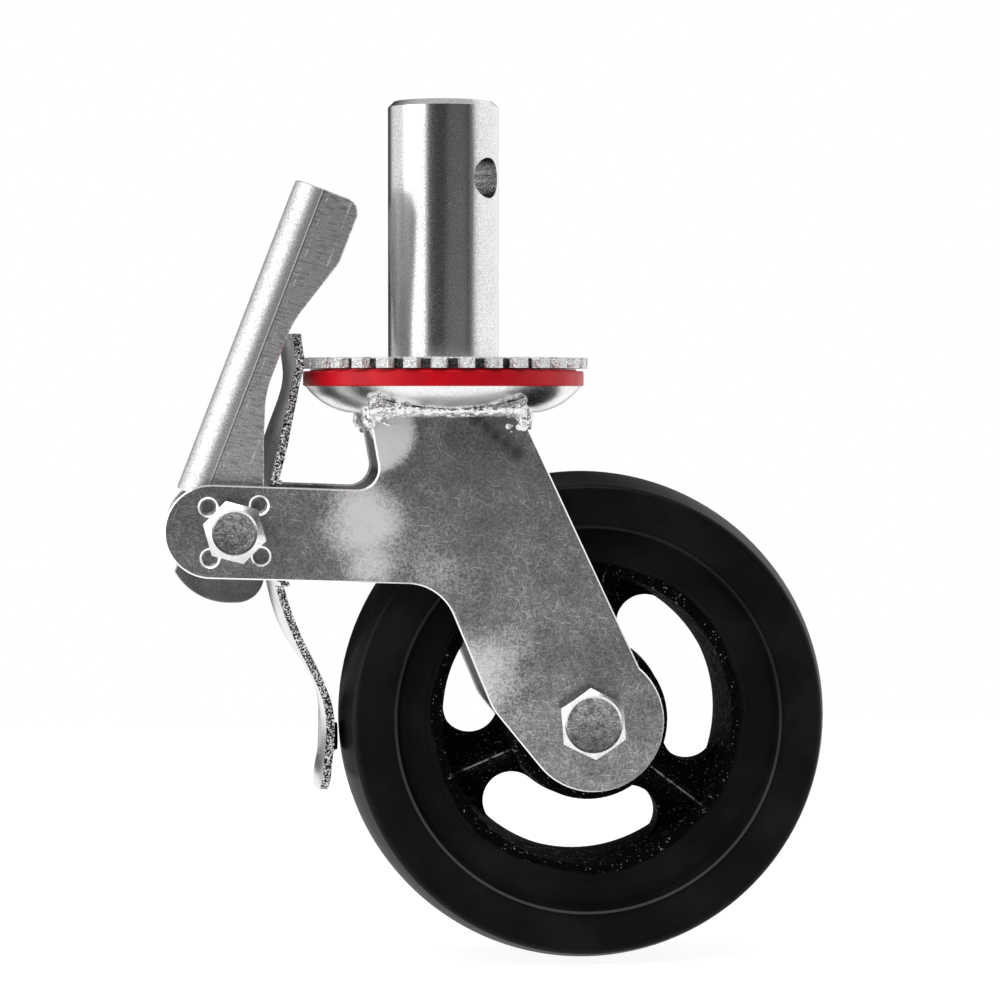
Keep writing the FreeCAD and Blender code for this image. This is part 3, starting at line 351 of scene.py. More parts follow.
# Where the painted shade between the teeth lies: reach from the centre, and depth under the top face.
TOOTH_FLOORS = (39.5, 41.8)
TOOTH_SHADE = (0.6, 0.25)


def spots(tree, place, table):
    """The strongest of several round masks, each weakened to its own strength."""
    masks = [
        math_node(tree, "MULTIPLY", spot(tree, place, (across, up), radius, core), strength)
        for across, up, radius, core, strength in table
    ]
    return most(tree, *masks)


def fork_masks(tree, place):
    """Burnished patches with a painted highlight, burns below the weld, painted shade in the dimples, and cut
    edges made bright by wear, with a painted highlight where that band crosses the rims of the dimples.
    """
    depth = math_node(tree, "DIVIDE", math_node(tree, "ABSOLUTE", axis_value(tree, place, "Y")), MM)
    # A bright band on the plate's chamfers: edge wear, and a painted highlight where it crosses the rims of
    # the dimples.
    edge_wear_and_highlight = band(tree, depth, PLATE_OUTER - 0.5, PLATE_OUTER - 0.12, CORNER_SOFT)
    sunk = band(tree, depth, PLATE_OUTER - 3.5, PLATE_OUTER - 0.75, 0.1)
    near_pivot = spot(tree, place, (PIVOT.x / MM, PIVOT.z / MM), DIMPLES_REACH, 0.9)
    # Painted shade in the sunken dimples round the pivot.
    dimple_shade = math_node(tree, "MULTIPLY", math_node(tree, "MULTIPLY", sunk, near_pivot), 0.5)
    heat_and_shade = most(tree, spots(tree, place, HEAT_SPOTS), dimple_shade)
    return {"Burnish and Highlight": spots(tree, place, BURNISH_HIGHLIGHT_SPOTS), "Stain and Shade": heat_and_shade, "Edge": edge_wear_and_highlight}


def lever_masks(tree, place):
    """A painted highlight on the fold and along its edge with painted shade beside it, thin broken bright
    lines, rub marks and scuffs along the cheek, and a cam darker towards its foot.
    """
    local = add_node(
        tree, "VectorRotate", {"Vector": place, "Center": PIVOT, "Angle": -LEVER_TILT}, rotation_type="Y_AXIS"
    ).outputs[0]
    across = math_node(
        tree, "DIVIDE", math_node(tree, "SUBTRACT", axis_value(tree, local, "X"), PIVOT.x), MM
    )
    broken = add_node(tree, "TexNoise", {"Vector": local, "Scale": 240.0, "Detail": 4.0}).outputs["Fac"]
    dashes = ramp(tree, broken, 0.40, 0.60, 0.05, 0.75)
    # A painted highlight where the fold meets the cheek.
    tangent_highlight = band(tree, across, *CHEEK_TANGENT, CHEEK_SOFT)
    middle = math_node(tree, "MULTIPLY", band(tree, across, *CHEEK_MIDDLE, CHEEK_SOFT), dashes)
    border = math_node(tree, "MULTIPLY", band(tree, across, *CHEEK_BORDER, CHEEK_SOFT), dashes)
    # Painted shade just beside that highlight.
    shadow = math_node(tree, "MULTIPLY", band(tree, across, *CHEEK_SHADOW, 0.15), 0.8)
    # Darker towards the cam's foot.
    drop = math_node(tree, "DIVIDE", math_node(tree, "SUBTRACT", PIVOT.z, axis_value(tree, local, "Z")), MM)
    darker_foot = ramp(tree, drop, *DARK_FOOT)
    rubs = hairs(tree, local, math.pi / 2, Fine=2400.0, Long=300.0, Few=0.62)
    rubs = math_node(tree, "MULTIPLY", rubs, 0.5)
    scuffs = hairs(tree, local, math.pi / 2 + 0.1, Fine=1500.0, Long=260.0, Few=0.55)
    cheek = ramp(tree, across, *CHEEK_START)
    rubs = math_node(tree, "MULTIPLY", rubs, cheek)
    scuffs = math_node(tree, "MULTIPLY", scuffs, math_node(tree, "MULTIPLY", cheek, 0.45))
    # A painted highlight on the fold itself.
    bend_highlight = ramp(tree, across, *BEND, 0.45, 0.0)
    lines = most(tree, tangent_highlight, middle, border, rubs)
    return {"Stain and Shade": most(tree, shadow, darker_foot, scuffs), "Burnish and Highlight": most(tree, bend_highlight, lines)}


def tooth_masks(tree, place):
    """Painted shade in the gaps between the teeth, darker deeper under the top face."""
    flat = add_node(tree, "VectorMath", {0: place, 1: (1.0, 1.0, 0.0)}, operation="MULTIPLY").outputs[0]
    reach = add_node(tree, "VectorMath", {0: flat}, operation="LENGTH").outputs["Value"]
    tooth_gap_shade = band(tree, math_node(tree, "DIVIDE", reach, MM), *TOOTH_FLOORS, 0.3)
    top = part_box("lock_plate")[1][2]
    low, high = [top - depth * MM for depth in TOOTH_SHADE]
    # The painted shade deepens with depth under the top face.
    below = ramp(tree, axis_value(tree, place, "Z"), low, high, 1.3, 0.0)
    return {"Stain and Shade": math_node(tree, "MULTIPLY", tooth_gap_shade, below)}


def weld_masks(tree, place):
    """Thin dark seams where one frozen drop ends and the next begins."""
    seam = add_node(tree, "TexNoise", {"Vector": place, "Scale": 330.0, "Detail": 3.0}).outputs["Fac"]
    return {"Stain and Shade": math_node(tree, "MULTIPLY", band(tree, seam, 0.492, 0.508, 0.014), 0.9)}


plate_zinc = zinc_material(
    "fork_zinc", bump=0.15, masks=fork_masks, Bright=grey(0.44), Dull=grey(0.16), Scratches=0.9,
    Cloudiness=0.4, Grain_Scale=1700.0, Rough=0.46, Smooth=0.32,
)
lever_zinc = zinc_material(
    "lever_zinc", masks=lever_masks, Bright=grey(0.95), Dull=grey(0.46), Scratches=0.15, Cloudiness=0.15,
    Rough=0.48, Smooth=0.34,
)
stem_zinc = zinc_material(
    "stem_zinc", bump=0.2, Bright=grey(0.95), Dull=grey(0.58), Grain_Scale=2300.0, Cloudiness=0.1,
    Scratches=0.1, Smooth=0.17, Rough=0.28,
)
pressing_zinc = zinc_material(
    "pressing_zinc", Bright=grey(0.95), Dull=grey(0.70), Scratches=0.2, Smooth=0.16, Rough=0.30
)
tooth_zinc = zinc_material(
    "tooth_zinc", bump=1.0, bump_mm=0.5, masks=tooth_masks, metallic=0.45, Bright=grey(0.97),
    Dull=grey(0.85), Grain_Scale=800.0, Cloudiness=0.05, Scratches=0.0, Smooth=0.14, Rough=0.30,
)
fastener_zinc = zinc_material(
    "fastener_zinc", Bright=grey(0.92), Dull=grey(0.60), Cloud_Scale=180.0, Smooth=0.16, Rough=0.30
)
forged_zinc = zinc_material(
    "forged_zinc", bump=0.8, bump_mm=0.10, Bright=grey(0.46), Dull=grey(0.09), Cloud_Scale=320.0,
    Grain_Scale=1500.0, Cloudiness=0.5, Scratches=0.5, Smooth=0.24, Rough=0.42,
)
weld_zinc = zinc_material(
    "weld_zinc", bump=0.6, bump_mm=0.5, masks=weld_masks, metallic=0.7, Bright=grey(0.97),
    Dull=grey(0.88), Grain_Scale=420.0, Cloudiness=0.1, Scratches=0.0, Smooth=0.14, Rough=0.30,
)
leaf_zinc = zinc_material(
    "leaf_zinc", bump=0.1, Bright=grey(0.80), Dull=grey(0.56), Cloudiness=0.6, Scratches=0.08, Smooth=0.20,
    Rough=0.30,
)
print("zinc finishes:", len([m for m in bpy.data.materials if "zinc" in m.name]))

# %% [markdown]
# ## Cast iron and rubber
# The wheel's core is poured in sand, so its black paint lies over grains. A few grains are painted
# bright as glints, like sugar in the light, and the rib crests carry a painted highlight. The rubber
# is moulded against polished steel. Its sides are dull black with a faint bloom, and only the
# moulded ridge and the edge of the tread are smooth enough to shine.

# %% Painted highlights on the rib crests
SPOKE_ANGLES = (82.8, 202.8, 322.8)
CREST_REACH = (25.0, 45.0)
CREST_HALF = 0.12


def crest_highlight(tree, place):
    """A painted highlight along the sharp crest of each spoke's rib, broken in places."""
    crest_breaks = add_node(tree, "TexNoise", {"Vector": place, "Scale": 420.0, "Detail": 2.0}).outputs["Fac"]
    crests = []
    for angle in SPOKE_ANGLES:
        turned = add_node(
            tree, "VectorRotate", {"Vector": place, "Center": AXLE, "Angle": math.radians(angle)},
            rotation_type="Y_AXIS",
        ).outputs[0]
        offset = add_node(tree, "VectorMath", {0: turned, 1: AXLE}, operation="SUBTRACT").outputs[0]
        across = math_node(tree, "DIVIDE", axis_value(tree, offset, "Z"), MM)
        along = math_node(tree, "DIVIDE", axis_value(tree, offset, "X"), MM)
        # A thin painted highlight along the crest, fading further out.
        line = band(tree, across, -CREST_HALF, CREST_HALF, 0.28)
        fading = ramp(tree, along, 28.0, 44.0, 1.0, 0.45)
        reach = math_node(tree, "MULTIPLY", band(tree, along, *CREST_REACH, 2.0), fading)
        crests.append(math_node(tree, "MULTIPLY", line, reach))
    return math_node(tree, "MULTIPLY", most(tree, *crests), ramp(tree, crest_breaks, 0.44, 0.56, 0.1, 1.0))


# %% Sand cast iron
def sand_cast_material():
    """Black paint over sand grains, with painted glints on a few of them and a painted highlight on the rib
    crests.
    """
    material, shader = new_material("sand_cast_iron", Metallic=0.0, Specular_IOR_Level=0.04)
    tree = material.node_tree
    place = add_node(tree, "TexCoord").outputs["Object"]
    lumps = add_node(tree, "TexNoise", {"Vector": place, "Scale": 420.0, "Detail": 3.0, "Roughness": 0.6})
    grains = add_node(tree, "TexVoronoi", {"Vector": place, "Scale": 2200.0}, feature="SMOOTH_F1")
    chance = add_node(tree, "SeparateColor", {0: grains.outputs["Color"]}).outputs[0]
    # Painted glints: a few grains made bright in the colour.
    painted_glints = math_node(
        tree, "MULTIPLY", ramp(tree, chance, 0.80, 0.88), ramp(tree, lumps.outputs["Fac"], 0.45, 0.58)
    )
    painted_glints = most(tree, painted_glints, crest_highlight(tree, place))
    height = math_node(tree, "MULTIPLY_ADD", lumps.outputs["Fac"], 1.2, grains.outputs["Distance"])
    relief = add_node(tree, "Bump", {"Strength": 1.0, "Distance": 0.5 * MM, "Height": height})
    tree.links.new(blend_colour(tree, painted_glints, grey(0.002), grey(0.42)), shader.inputs["Base Color"])
    tree.links.new(ramp(tree, lumps.outputs["Fac"], 0.3, 0.7, 0.85, 0.6), shader.inputs["Roughness"])
    tree.links.new(relief.outputs[0], shader.inputs["Normal"])
    return material


RIDGE_RADIUS = 59.4
TREAD_START = 70.6


def rubber_material():
    """Moulded black rubber with a faint bloom, glossy on its ridge and its tread."""
    material, shader = new_material(
        "moulded_rubber", Metallic=0.0, Specular_IOR_Level=0.05, Coat_Roughness=0.18
    )
    tree = material.node_tree
    place = add_node(tree, "TexCoord").outputs["Object"]
    bloom = add_node(tree, "TexNoise", {"Vector": place, "Scale": 38.0, "Detail": 5.0, "Roughness": 0.6})
    pores = add_node(tree, "TexNoise", {"Vector": place, "Scale": 2200.0, "Detail": 2.0})
    flat = add_node(tree, "VectorMath", {0: place, 1: (1.0, 0.0, 1.0)}, operation="MULTIPLY").outputs[0]
    hub = (AXLE.x, 0.0, AXLE.z)
    reach = add_node(tree, "VectorMath", {0: flat, 1: hub}, operation="DISTANCE").outputs["Value"]
    reach = math_node(tree, "DIVIDE", reach, MM)
    ridge = band(tree, reach, RIDGE_RADIUS - 0.35, RIDGE_RADIUS + 0.35, 0.25)
    tread = ramp(tree, reach, TREAD_START, TREAD_START + 1.2)
    gloss = most(tree, ridge, math_node(tree, "MULTIPLY", tread, 0.12))
    mask = ramp(tree, bloom.outputs["Fac"], 0.4, 0.7)
    base = blend_colour(tree, mask, grey(0.006), grey(0.013))
    relief = add_node(tree, "Bump", {"Strength": 0.15, "Distance": 0.05 * MM, "Height": pores.outputs["Fac"]})
    tree.links.new(base, shader.inputs["Base Color"])
    tree.links.new(ramp(tree, bloom.outputs["Fac"], 0.35, 0.7, 0.5, 0.62), shader.inputs["Roughness"])
    tree.links.new(gloss, shader.inputs["Coat Weight"])
    tree.links.new(relief.outputs[0], shader.inputs["Normal"])
    return material


iron = sand_cast_material()
rubber = rubber_material()
print("iron and rubber ready")

# %% Red plastic, brass and ground steel
def plain_material(name, colour, dark, roughness, metallic, scale, bump, **constants):
    """A nearly even finish with a little cloud in its colour and its gloss."""
    material, shader = new_material(name, Metallic=metallic, **constants)
    tree = material.node_tree
    place = add_node(tree, "TexCoord").outputs["Object"]
    cloud = add_node(tree, "TexNoise", {"Vector": place, "Scale": scale, "Detail": 3.0})
    mask = ramp(tree, cloud.outputs["Fac"], 0.35, 0.65)
    relief = add_node(tree, "Bump", {"Strength": bump, "Distance": 0.05 * MM, "Height": cloud.outputs["Fac"]})
    tree.links.new(blend_colour(tree, mask, dark, colour), shader.inputs["Base Color"])
    tree.links.new(
        ramp(tree, cloud.outputs["Fac"], 0.3, 0.7, roughness * 1.2, roughness), shader.inputs["Roughness"]
    )
    tree.links.new(relief.outputs[0], shader.inputs["Normal"])
    return material


ring_red = plain_material(
    "ring_red", (0.70, 0.002, 0.012, 1), (0.60, 0.001, 0.010, 1), 0.36, 0.0, 160.0, 0.1,
    Specular_IOR_Level=0.25,
)
brass = plain_material("cage_brass", (0.62, 0.44, 0.18, 1), (0.50, 0.34, 0.13, 1), 0.35, 1.0, 260.0, 0.1)
ground = plain_material("ground_steel", grey(0.62), grey(0.52), 0.16, 1.0, 400.0, 0.05)
print("ring, cage and ground steel ready")

# %% [markdown]
# ## Dressing the solids
# A solid keeps its own mesh. Only its material slot is filled, so nothing that the solid gets
# right is put at risk.

# %% Materials onto solids
FINISHES = [
    (stem_zinc, "stem"),
    (tooth_zinc, "lock_plate"),
    (pressing_zinc, "swivel_bowl lower_cup kingpin_washer axle_washer pivot_washer"),
    (plate_zinc, "fork_plate_near fork_plate_far"),
    (lever_zinc, "brake_lever"),
    (leaf_zinc, "brake_leaf"),
    (weld_zinc, "fork_weld_near fork_weld_far"),
    (fastener_zinc, "axle_bolt axle_nut pivot_bolt pivot_nut kingpin_nut"),
    (ground, "race_sleeve upper_balls lower_balls axle_sleeve bearing_rollers pivot_sleeve"),
    (brass, "roller_cage thrust_washers"),
    (ring_red, "dust_ring"),
    (iron, "wheel_core"),
    (rubber, "tyre brake_pad"),
]
for finish, names in FINISHES:
    for name in names.split():
        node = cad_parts[name]
        for slot in node.material_slots:
            slot.material = finish
print("dressed:", sum(len(names.split()) for finish, names in FINISHES))

# %% [markdown]
# ## Pieces that Blender makes
# Some pieces need more than a finish. Each starts as a copy of its solid, with the loose triangles
# merged, so that it can be cut, roughened or given a thread and still seat where the solid does.

# %% Helpers for pieces
CREASE = math.radians(32.0)


def merged_copy(node):
    """A solid's mesh as a bmesh whose triangles share their vertices."""
    shape = bmesh.new()
    shape.from_mesh(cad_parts[node].data)
    bmesh.ops.remove_doubles(shape, verts=shape.verts, dist=0.002 * MM)
    return shape


def everything(shape):
    """All of a bmesh, in the form that its operators ask for."""
    return shape.verts[:] + shape.edges[:] + shape.faces[:]


def make_piece(shape, name, *finishes):
    """A bmesh turned into a named object, smooth but for its real corners."""
    for face in shape.faces:
        face.smooth = True
    for edge in shape.edges:
        edge.smooth = edge.calc_face_angle(0.0) < CREASE
    mesh = bpy.data.meshes.new(name)
    shape.to_mesh(mesh)
    shape.free()
    for finish in finishes:
        mesh.materials.append(finish)
    piece = bpy.data.objects.new(name, mesh)
    bpy.context.collection.objects.link(piece)
    print(name, len(mesh.polygons), "faces")
    return piece

# %% [markdown]
# ## The brake leaf
# The leaf is a sprung strap. When the cam turns, its middle is pushed flat while its head only
# meets the toothed plate and its tail stays on the tyre. One stiff mesh can't do that. Here the
# leaf is cut into two halves that meet at the pivot's height.
# The strap was sheared from sheet, so its faces are smooth and its cut edges are torn and bright.

# %% Sheared edge
def sheared_material():
    """A torn cut edge: bright crumbs with dark pits between them."""
    material, shader = new_material("sheared_edge", Metallic=0.8)
    tree = material.node_tree
    place = add_node(tree, "TexCoord").outputs["Object"]
    crumbs = add_node(tree, "TexNoise", {"Vector": place, "Scale": 1900.0, "Detail": 2.0, "Roughness": 0.7})
    pits = ramp(tree, crumbs.outputs["Fac"], 0.50, 0.56)
    relief = add_node(tree, "Bump", {"Strength": 1.0, "Distance": 0.4 * MM, "Height": crumbs.outputs["Fac"]})
    tree.links.new(blend_colour(tree, pits, grey(0.008), grey(0.95)), shader.inputs["Base Color"])
    tree.links.new(ramp(tree, crumbs.outputs["Fac"], 0.4, 0.6, 0.5, 0.25), shader.inputs["Roughness"])
    tree.links.new(relief.outputs[0], shader.inputs["Normal"])
    return material


sheared = sheared_material()
print("sheared edge ready")

# %% Two halves
EDGE_TURN = 0.55


def leaf_half(name, keep_up):
    """The part of the leaf above or below the pivot's height, as a piece of its own."""
    shape = merged_copy("brake_leaf")
    cut = bmesh.ops.bisect_plane(
        shape, geom=everything(shape), plane_co=(0, 0, PIVOT.z), plane_no=(0, 0, 1),
        clear_inner=keep_up, clear_outer=not keep_up,
    )
    rim = [item for item in cut["geom_cut"] if isinstance(item, bmesh.types.BMEdge)]
    bmesh.ops.holes_fill(shape, edges=rim, sides=0)
    bmesh.ops.recalc_face_normals(shape, faces=shape.faces)
    for face in shape.faces:
        face.material_index = int(abs(face.normal.x) < EDGE_TURN)
    half = make_piece(shape, name, leaf_zinc, sheared)
    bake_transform(half)
    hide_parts("brake_leaf")
    return half


leaf_half("leaf_upper", True)
leaf_half("leaf_lower", False)

# %% [markdown]
# ## The welds
# A hand weld freezes as a row of overlapping drops, with crumbs of spatter beside it. The solid
# gives the bead its size. A voxel remesh gives it even faces, and noise along each vertex's normal
# then raises the drops.

# %% Weld beads
VOXEL = 0.42 * MM
DROP_LENGTH = 4.2 * MM
DROP_HEIGHT = 0.55 * MM
CRUMB_LENGTH = 1.3 * MM
CRUMB_HEIGHT = 0.4 * MM
SPATTER_COUNT = 22
SPATTER_SEED = 5
SPATTER_ENDS = (-22.0, 20.0)
SPATTER_SPREAD = 2.2
SPATTER_TOP = 17.5
SPATTER_FALL = 3.0
SPATTER_SIZES = (0.35, 0.95)
NECK_LEFT = -23.8
NECK_RIGHT = 22.0


def even_mesh(shape, voxel):
    """The same closed shape with small faces of one size."""
    rough = bpy.data.meshes.new("rough")
    shape.to_mesh(rough)
    shape.free()
    holder = bpy.data.objects.new("rough", rough)
    bpy.context.collection.objects.link(holder)
    remesh = holder.modifiers.new("even", "REMESH")
    remesh.mode = "VOXEL"
    remesh.voxel_size = voxel
    ready = holder.evaluated_get(bpy.context.evaluated_depsgraph_get())
    fine = bmesh.new()
    fine.from_mesh(ready.to_mesh())
    bpy.data.objects.remove(holder)
    bpy.data.meshes.remove(rough)
    return fine


def add_spatter(shape, side):
    """Blobs of spatter stuck on the plate below the bead, most of them near its ends."""
    chance = random.Random(SPATTER_SEED + side)
    for number in range(SPATTER_COUNT):
        end = SPATTER_ENDS[number % 2]
        across = min(max(end + chance.gauss(0.0, SPATTER_SPREAD), NECK_LEFT), NECK_RIGHT)
        drop = SPATTER_TOP + abs(chance.gauss(0.0, SPATTER_FALL))
        radius = chance.uniform(*SPATTER_SIZES)
        place = Vector((across, side * (PLATE_OUTER + 0.1), -drop)) * MM
        blob = bmesh.ops.create_icosphere(shape, subdivisions=2, radius=radius * MM)
        bmesh.ops.translate(shape, verts=blob["verts"], vec=place)


def weld_bead(name, node, side):
    """One weld with its drops raised."""
    rough = merged_copy(node)
    add_spatter(rough, side)
    bead = even_mesh(rough, VOXEL)
    bead.normal_update()
    for vert in bead.verts:
        drop = noise.noise(vert.co / DROP_LENGTH) * DROP_HEIGHT
        crumb = noise.noise(vert.co / CRUMB_LENGTH) * CRUMB_HEIGHT
        vert.co += vert.normal * (drop + crumb)
    piece = make_piece(bead, name, weld_zinc)
    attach(piece, "fork")
    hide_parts(node)


weld_bead("weld_bead_near", "fork_weld_near", -1)
weld_bead("weld_bead_far", "fork_weld_far", 1)

# %% [markdown]
# ## The rubber skin's edge
# Where the tyre's rubber creeps over the casting it ends in a thin, wandering flash. A profile of
# four points is spun round the axle, and noise then moves its inner edge in and out.

# %% Wandering flash
FLASH_OUTER = 50.3 * MM
FLASH_INNER = 48.0 * MM
FLASH_WANDER = 1.6 * MM
FLASH_FACE = 21.15 * MM
FLASH_LIP_WIDTH = 0.5 * MM
FLASH_LIP_RISE = 0.75 * MM
SLOW_WAVES = 2.1
QUICK_WAVES = 9.0
QUICK_SHARE = 0.35
RIM_FACE = 20.02 * MM
FLASH_STEPS = 288


def rubber_flash(name, side):
    """The thin edge of rubber on one side of the wheel."""
    flash = bmesh.new()
    corners = [
        (FLASH_OUTER, RIM_FACE), (FLASH_OUTER, FLASH_FACE),
        (FLASH_INNER + FLASH_LIP_WIDTH, RIM_FACE + FLASH_LIP_RISE), (FLASH_INNER, RIM_FACE),
    ]
    ring = [flash.verts.new(AXLE + Vector((radius, side * depth, 0))) for radius, depth in corners]
    for first, second in zip(ring, ring[1:] + ring[:1]):
        flash.edges.new((first, second))
    bmesh.ops.spin(
        flash, geom=flash.verts[:] + flash.edges[:], cent=AXLE, axis=(0, 1, 0),
        angle=math.tau, steps=FLASH_STEPS, use_merge=True,
    )
    for vert in flash.verts:
        out = Vector((vert.co.x - AXLE.x, 0, vert.co.z - AXLE.z))
        if out.length < FLASH_OUTER - 0.1 * MM:
            slow = noise.noise(out.normalized() * SLOW_WAVES + Vector((0, side * 5, 0)))
            quick = noise.noise(out.normalized() * QUICK_WAVES + Vector((0, side * 9, 0)))
            vert.co += out.normalized() * (slow + QUICK_SHARE * quick) * FLASH_WANDER
    bmesh.ops.recalc_face_normals(flash, faces=flash.faces)
    piece = make_piece(flash, name, rubber)
    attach(piece, "wheel")


rubber_flash("skin_edge_near", -1)
rubber_flash("skin_edge_far", 1)

# %% [markdown]
# ## The two bolts
# A forged bolt head isn't quite flat: the die leaves a shallow dish inside the chamfer. The thread
# shows past the nut. The copy is cut off there, and a core and a ridge spun along a helix take
# its place.

# %% Bolts with a dish and a thread
DISH_RIM = 0.7 * MM
DISH_DEPTH = 0.25 * MM
TURN_STEPS = 36
FLAT = math.radians(0.5)
AXLE_THREAD = (6.0 * MM, 1.75 * MM)
PIVOT_THREAD = (5.0 * MM, 1.5 * MM)
THREAD_DEPTH = 0.6
CORE_END = 1.6
RIDGE_FOOT = 1.2
RIDGE_SECTION = (0.42, 0.55, 0.97)
RUN_OUT_TURNS = 1.3


def dish_head(bolt, face_y):
    """Sinks the flat disc of a bolt's head a little."""
    bmesh.ops.dissolve_limit(bolt, angle_limit=FLAT, verts=bolt.verts[:], edges=bolt.edges[:])
    discs = [face for face in bolt.faces if abs(face.calc_center_median().y - face_y) < 0.01 * MM]
    bmesh.ops.inset_region(bolt, faces=discs, thickness=DISH_RIM, depth=-DISH_DEPTH, use_even_offset=True)
    for face in discs:
        face.material_index = 1


def add_thread(bolt, centre, radius, pitch, low, high):
    """A threaded core from low to high, as a plain core and a ridge spun along its helix."""
    depth = pitch * THREAD_DEPTH
    core = bmesh.ops.create_cone(
        bolt, cap_ends=True, segments=48, radius1=radius - depth, radius2=radius - depth * CORE_END,
        depth=high - low,
    )
    place = Matrix.Translation((centre.x, (low + high) / 2, centre.z)) @ Matrix.Rotation(-math.pi / 2, 4, "X")
    bmesh.ops.transform(bolt, matrix=place, verts=core["verts"])
    foot = radius - depth * RIDGE_FOOT
    start = low + 0.1 * MM
    turns = (high - low) / pitch - RUN_OUT_TURNS
    rise, fall, end = [start + pitch * share for share in RIDGE_SECTION]
    ridge = [
        bolt.verts.new((centre.x + foot, start, centre.z)),
        bolt.verts.new((centre.x + radius, rise, centre.z)),
        bolt.verts.new((centre.x + radius, fall, centre.z)),
        bolt.verts.new((centre.x + foot, end, centre.z)),
    ]
    edges = [bolt.edges.new((first, second)) for first, second in zip(ridge, ridge[1:] + ridge[:1])]
    steps = int(turns * TURN_STEPS)
    spun = bmesh.ops.spin(
        bolt, geom=ridge + edges, cent=centre, axis=(0, 1, 0), dvec=(0, pitch / TURN_STEPS, 0),
        angle=math.tau * steps / TURN_STEPS, steps=steps, use_merge=False,
    )
    tail = [item for item in spun["geom_last"] if isinstance(item, bmesh.types.BMVert)]
    bmesh.ops.contextual_create(bolt, geom=ridge)
    bmesh.ops.contextual_create(bolt, geom=tail)


def dressed_bolt(name, node, centre, radius, pitch, head_face, nut_face):
    """A bolt with its head dished and its thread cut."""
    bolt = merged_copy(node)
    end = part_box(node)[1][1]
    dish_head(bolt, head_face)
    cut = bmesh.ops.bisect_plane(
        bolt, geom=everything(bolt), plane_co=(0, nut_face, 0), plane_no=(0, 1, 0), clear_outer=True
    )
    rim = [item for item in cut["geom_cut"] if isinstance(item, bmesh.types.BMEdge)]
    bmesh.ops.holes_fill(bolt, edges=rim, sides=0)
    add_thread(bolt, centre, radius, pitch, nut_face, end)
    bmesh.ops.recalc_face_normals(bolt, faces=bolt.faces)
    piece = make_piece(bolt, name, fastener_zinc, forged_zinc)
    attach(piece, "fork")
    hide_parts(node)


AXLE_HEAD_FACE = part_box("axle_bolt")[0][1]
PIVOT_HEAD_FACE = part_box("pivot_bolt")[0][1]
AXLE_NUT_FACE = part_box("axle_nut")[1][1] + 0.05 * MM
PIVOT_NUT_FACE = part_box("pivot_nut")[1][1] + 0.05 * MM
dressed_bolt("axle_bolt_cut", "axle_bolt", AXLE, *AXLE_THREAD, AXLE_HEAD_FACE, AXLE_NUT_FACE)
dressed_bolt("pivot_bolt_cut", "pivot_bolt", PIVOT, *PIVOT_THREAD, PIVOT_HEAD_FACE, PIVOT_NUT_FACE)

# %% [markdown]
# ## The studio
# Bare metal shows the room more than itself. The photograph has a tall soft box on the left, a
# white wall on the right and a white card far on the left, with the dark room round the camera
# between them, which is what makes the middle of the stem dark. A box above lights the rims, a weak
# one low on the right keeps the rubber from going dead, and a small strip in front puts a glint on
# the fork's lower end. The background is white only to the eye of the camera, and the floor glows
# only to it and to mirrors, so neither washes out the metal.

# %% Lamps
def soft_box(name, place, target, width, height, radiance):
    """A rectangular lamp that faces its target, with its brightness given as radiance."""
    lamp = bpy.data.lights.new(name, "AREA")
    lamp.shape = "RECTANGLE"
    lamp.size = width
    lamp.size_y = height
    lamp.energy = radiance * math.pi * width * height
    holder = bpy.data.objects.new(name, lamp)
    holder.location = place
    aim = Vector(target) - Vector(place)
    holder.rotation_euler = aim.to_track_quat("-Z", "Y").to_euler()
    bpy.context.collection.objects.link(holder)
    return holder


MIDDLE = Vector((0.01, 0.0, -0.05))
soft_box("left_box", (-1.27, -0.58, 0.30), MIDDLE, 1.35, 3.4, 1.6)
soft_box("top_box", (-0.15, -0.9, 1.45), MIDDLE, 1.4, 1.1, 2.0)
soft_box("front_fill", (0.95, -2.05, -0.35), MIDDLE, 1.7, 1.4, 0.115)
glint = soft_box("front_strip", (0.045, -1.5, -0.085), (0.045, 0.0, -0.085), 0.075, 0.16, 0.55)
glint.rotation_euler.rotate_axis("Z", math.radians(26.0))
print("lamps:", len(bpy.data.lights))

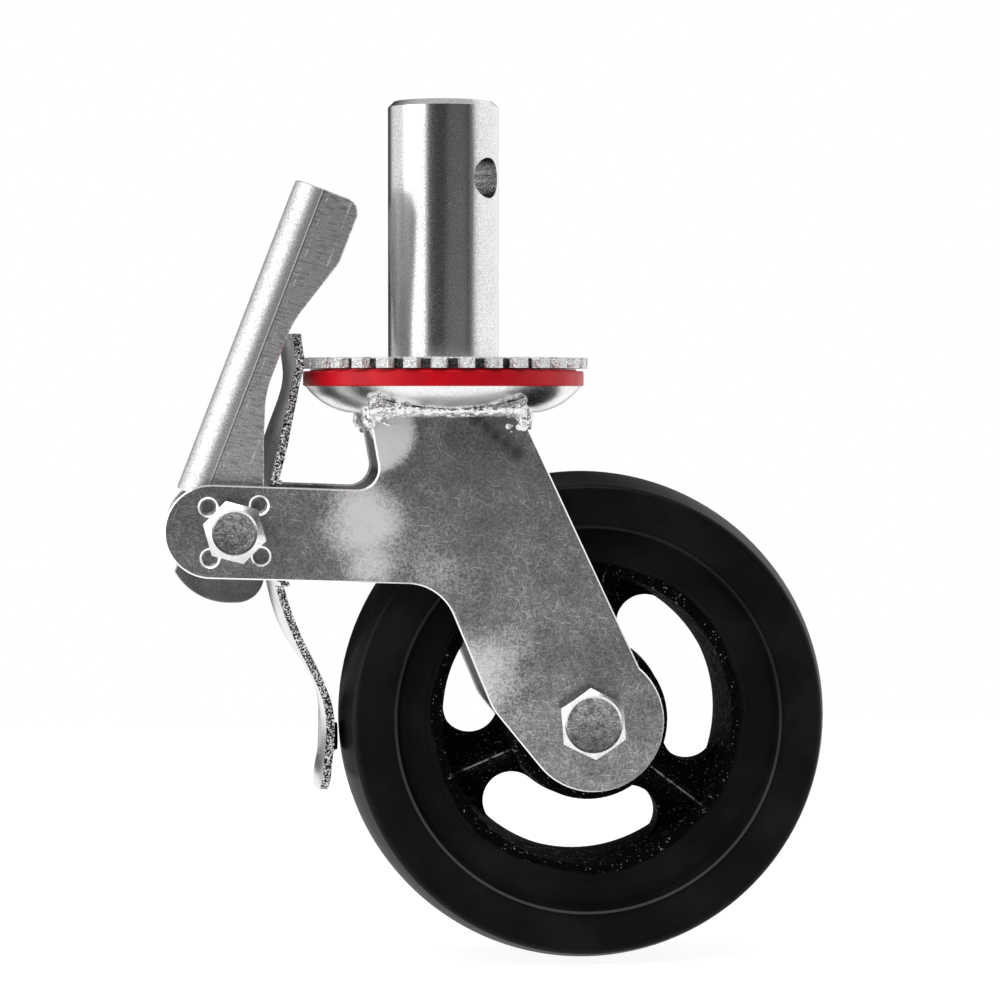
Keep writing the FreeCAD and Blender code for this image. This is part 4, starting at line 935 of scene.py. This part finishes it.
# %% World and floor
WALL_SIDE = Vector((0.906, 0.423, 0.0))
CARD_SIDE = Vector((-0.956, 0.292, 0.0))
SKY_LIGHT = 0.5
world = bpy.data.worlds.new("studio")
world.use_nodes = True
bpy.context.scene.world = world
tree = world.node_tree
tree.nodes.clear()
path = add_node(tree, "LightPath").outputs
looking = add_node(tree, "TexCoord").outputs["Generated"]
facing = add_node(tree, "VectorMath", {0: looking, 1: WALL_SIDE}, operation="DOT_PRODUCT")
wall = ramp(tree, facing.outputs["Value"], 0.48, 0.76, 0.03, 1.05)
beside = add_node(tree, "VectorMath", {0: looking, 1: CARD_SIDE}, operation="DOT_PRODUCT")
card = ramp(tree, beside.outputs["Value"], 0.74, 0.92, 0.0, 0.85)
height = add_node(tree, "SeparateXYZ", {0: looking}).outputs["Z"]
sky = ramp(tree, height, 0.35, 0.95, 0.0, SKY_LIGHT)
sides = math_node(tree, "ADD", wall, card)
room = add_node(tree, "Background", {"Color": grey(1.0), "Strength": math_node(tree, "ADD", sides, sky)})
white = add_node(tree, "Background", {"Color": grey(1.0), "Strength": 1.0})
mixed = add_node(tree, "MixShader", {0: path["Is Camera Ray"], 1: room.outputs[0], 2: white.outputs[0]})
add_node(tree, "OutputWorld", {"Surface": mixed.outputs[0]})

FLOOR_SIZE = 1.5
FLOOR_WHITE = 0.70
FLOOR_GLOW = 1.315
floor_mesh = bpy.data.meshes.new("floor")
sheet = bmesh.new()
bmesh.ops.create_grid(sheet, x_segments=1, y_segments=1, size=FLOOR_SIZE / 2)
bmesh.ops.translate(sheet, verts=sheet.verts, vec=(0, 0, WHEEL_BOTTOM))
sheet.to_mesh(floor_mesh)
sheet.free()
floor = bpy.data.objects.new("floor", floor_mesh)
bpy.context.collection.objects.link(floor)
paper = bpy.data.materials.new("white_paper")
paper.use_nodes = True
tree = paper.node_tree
tree.nodes.clear()
path = add_node(tree, "LightPath").outputs
matt = add_node(tree, "BsdfDiffuse", {"Color": grey(0.85)})
glow = add_node(tree, "Emission", {"Color": grey(1.0), "Strength": FLOOR_GLOW})
seen = most(tree, path["Is Camera Ray"], path["Is Glossy Ray"], path["Is Transmission Ray"])
share = math_node(tree, "MULTIPLY", seen, FLOOR_WHITE)
mixed = add_node(tree, "MixShader", {0: share, 1: matt.outputs[0], 2: glow.outputs[0]})
add_node(tree, "OutputMaterial", {"Surface": mixed.outputs[0]})
floor_mesh.materials.append(paper)
print("floor:", FLOOR_SIZE, "m wide, at", round(WHEEL_BOTTOM, 4))
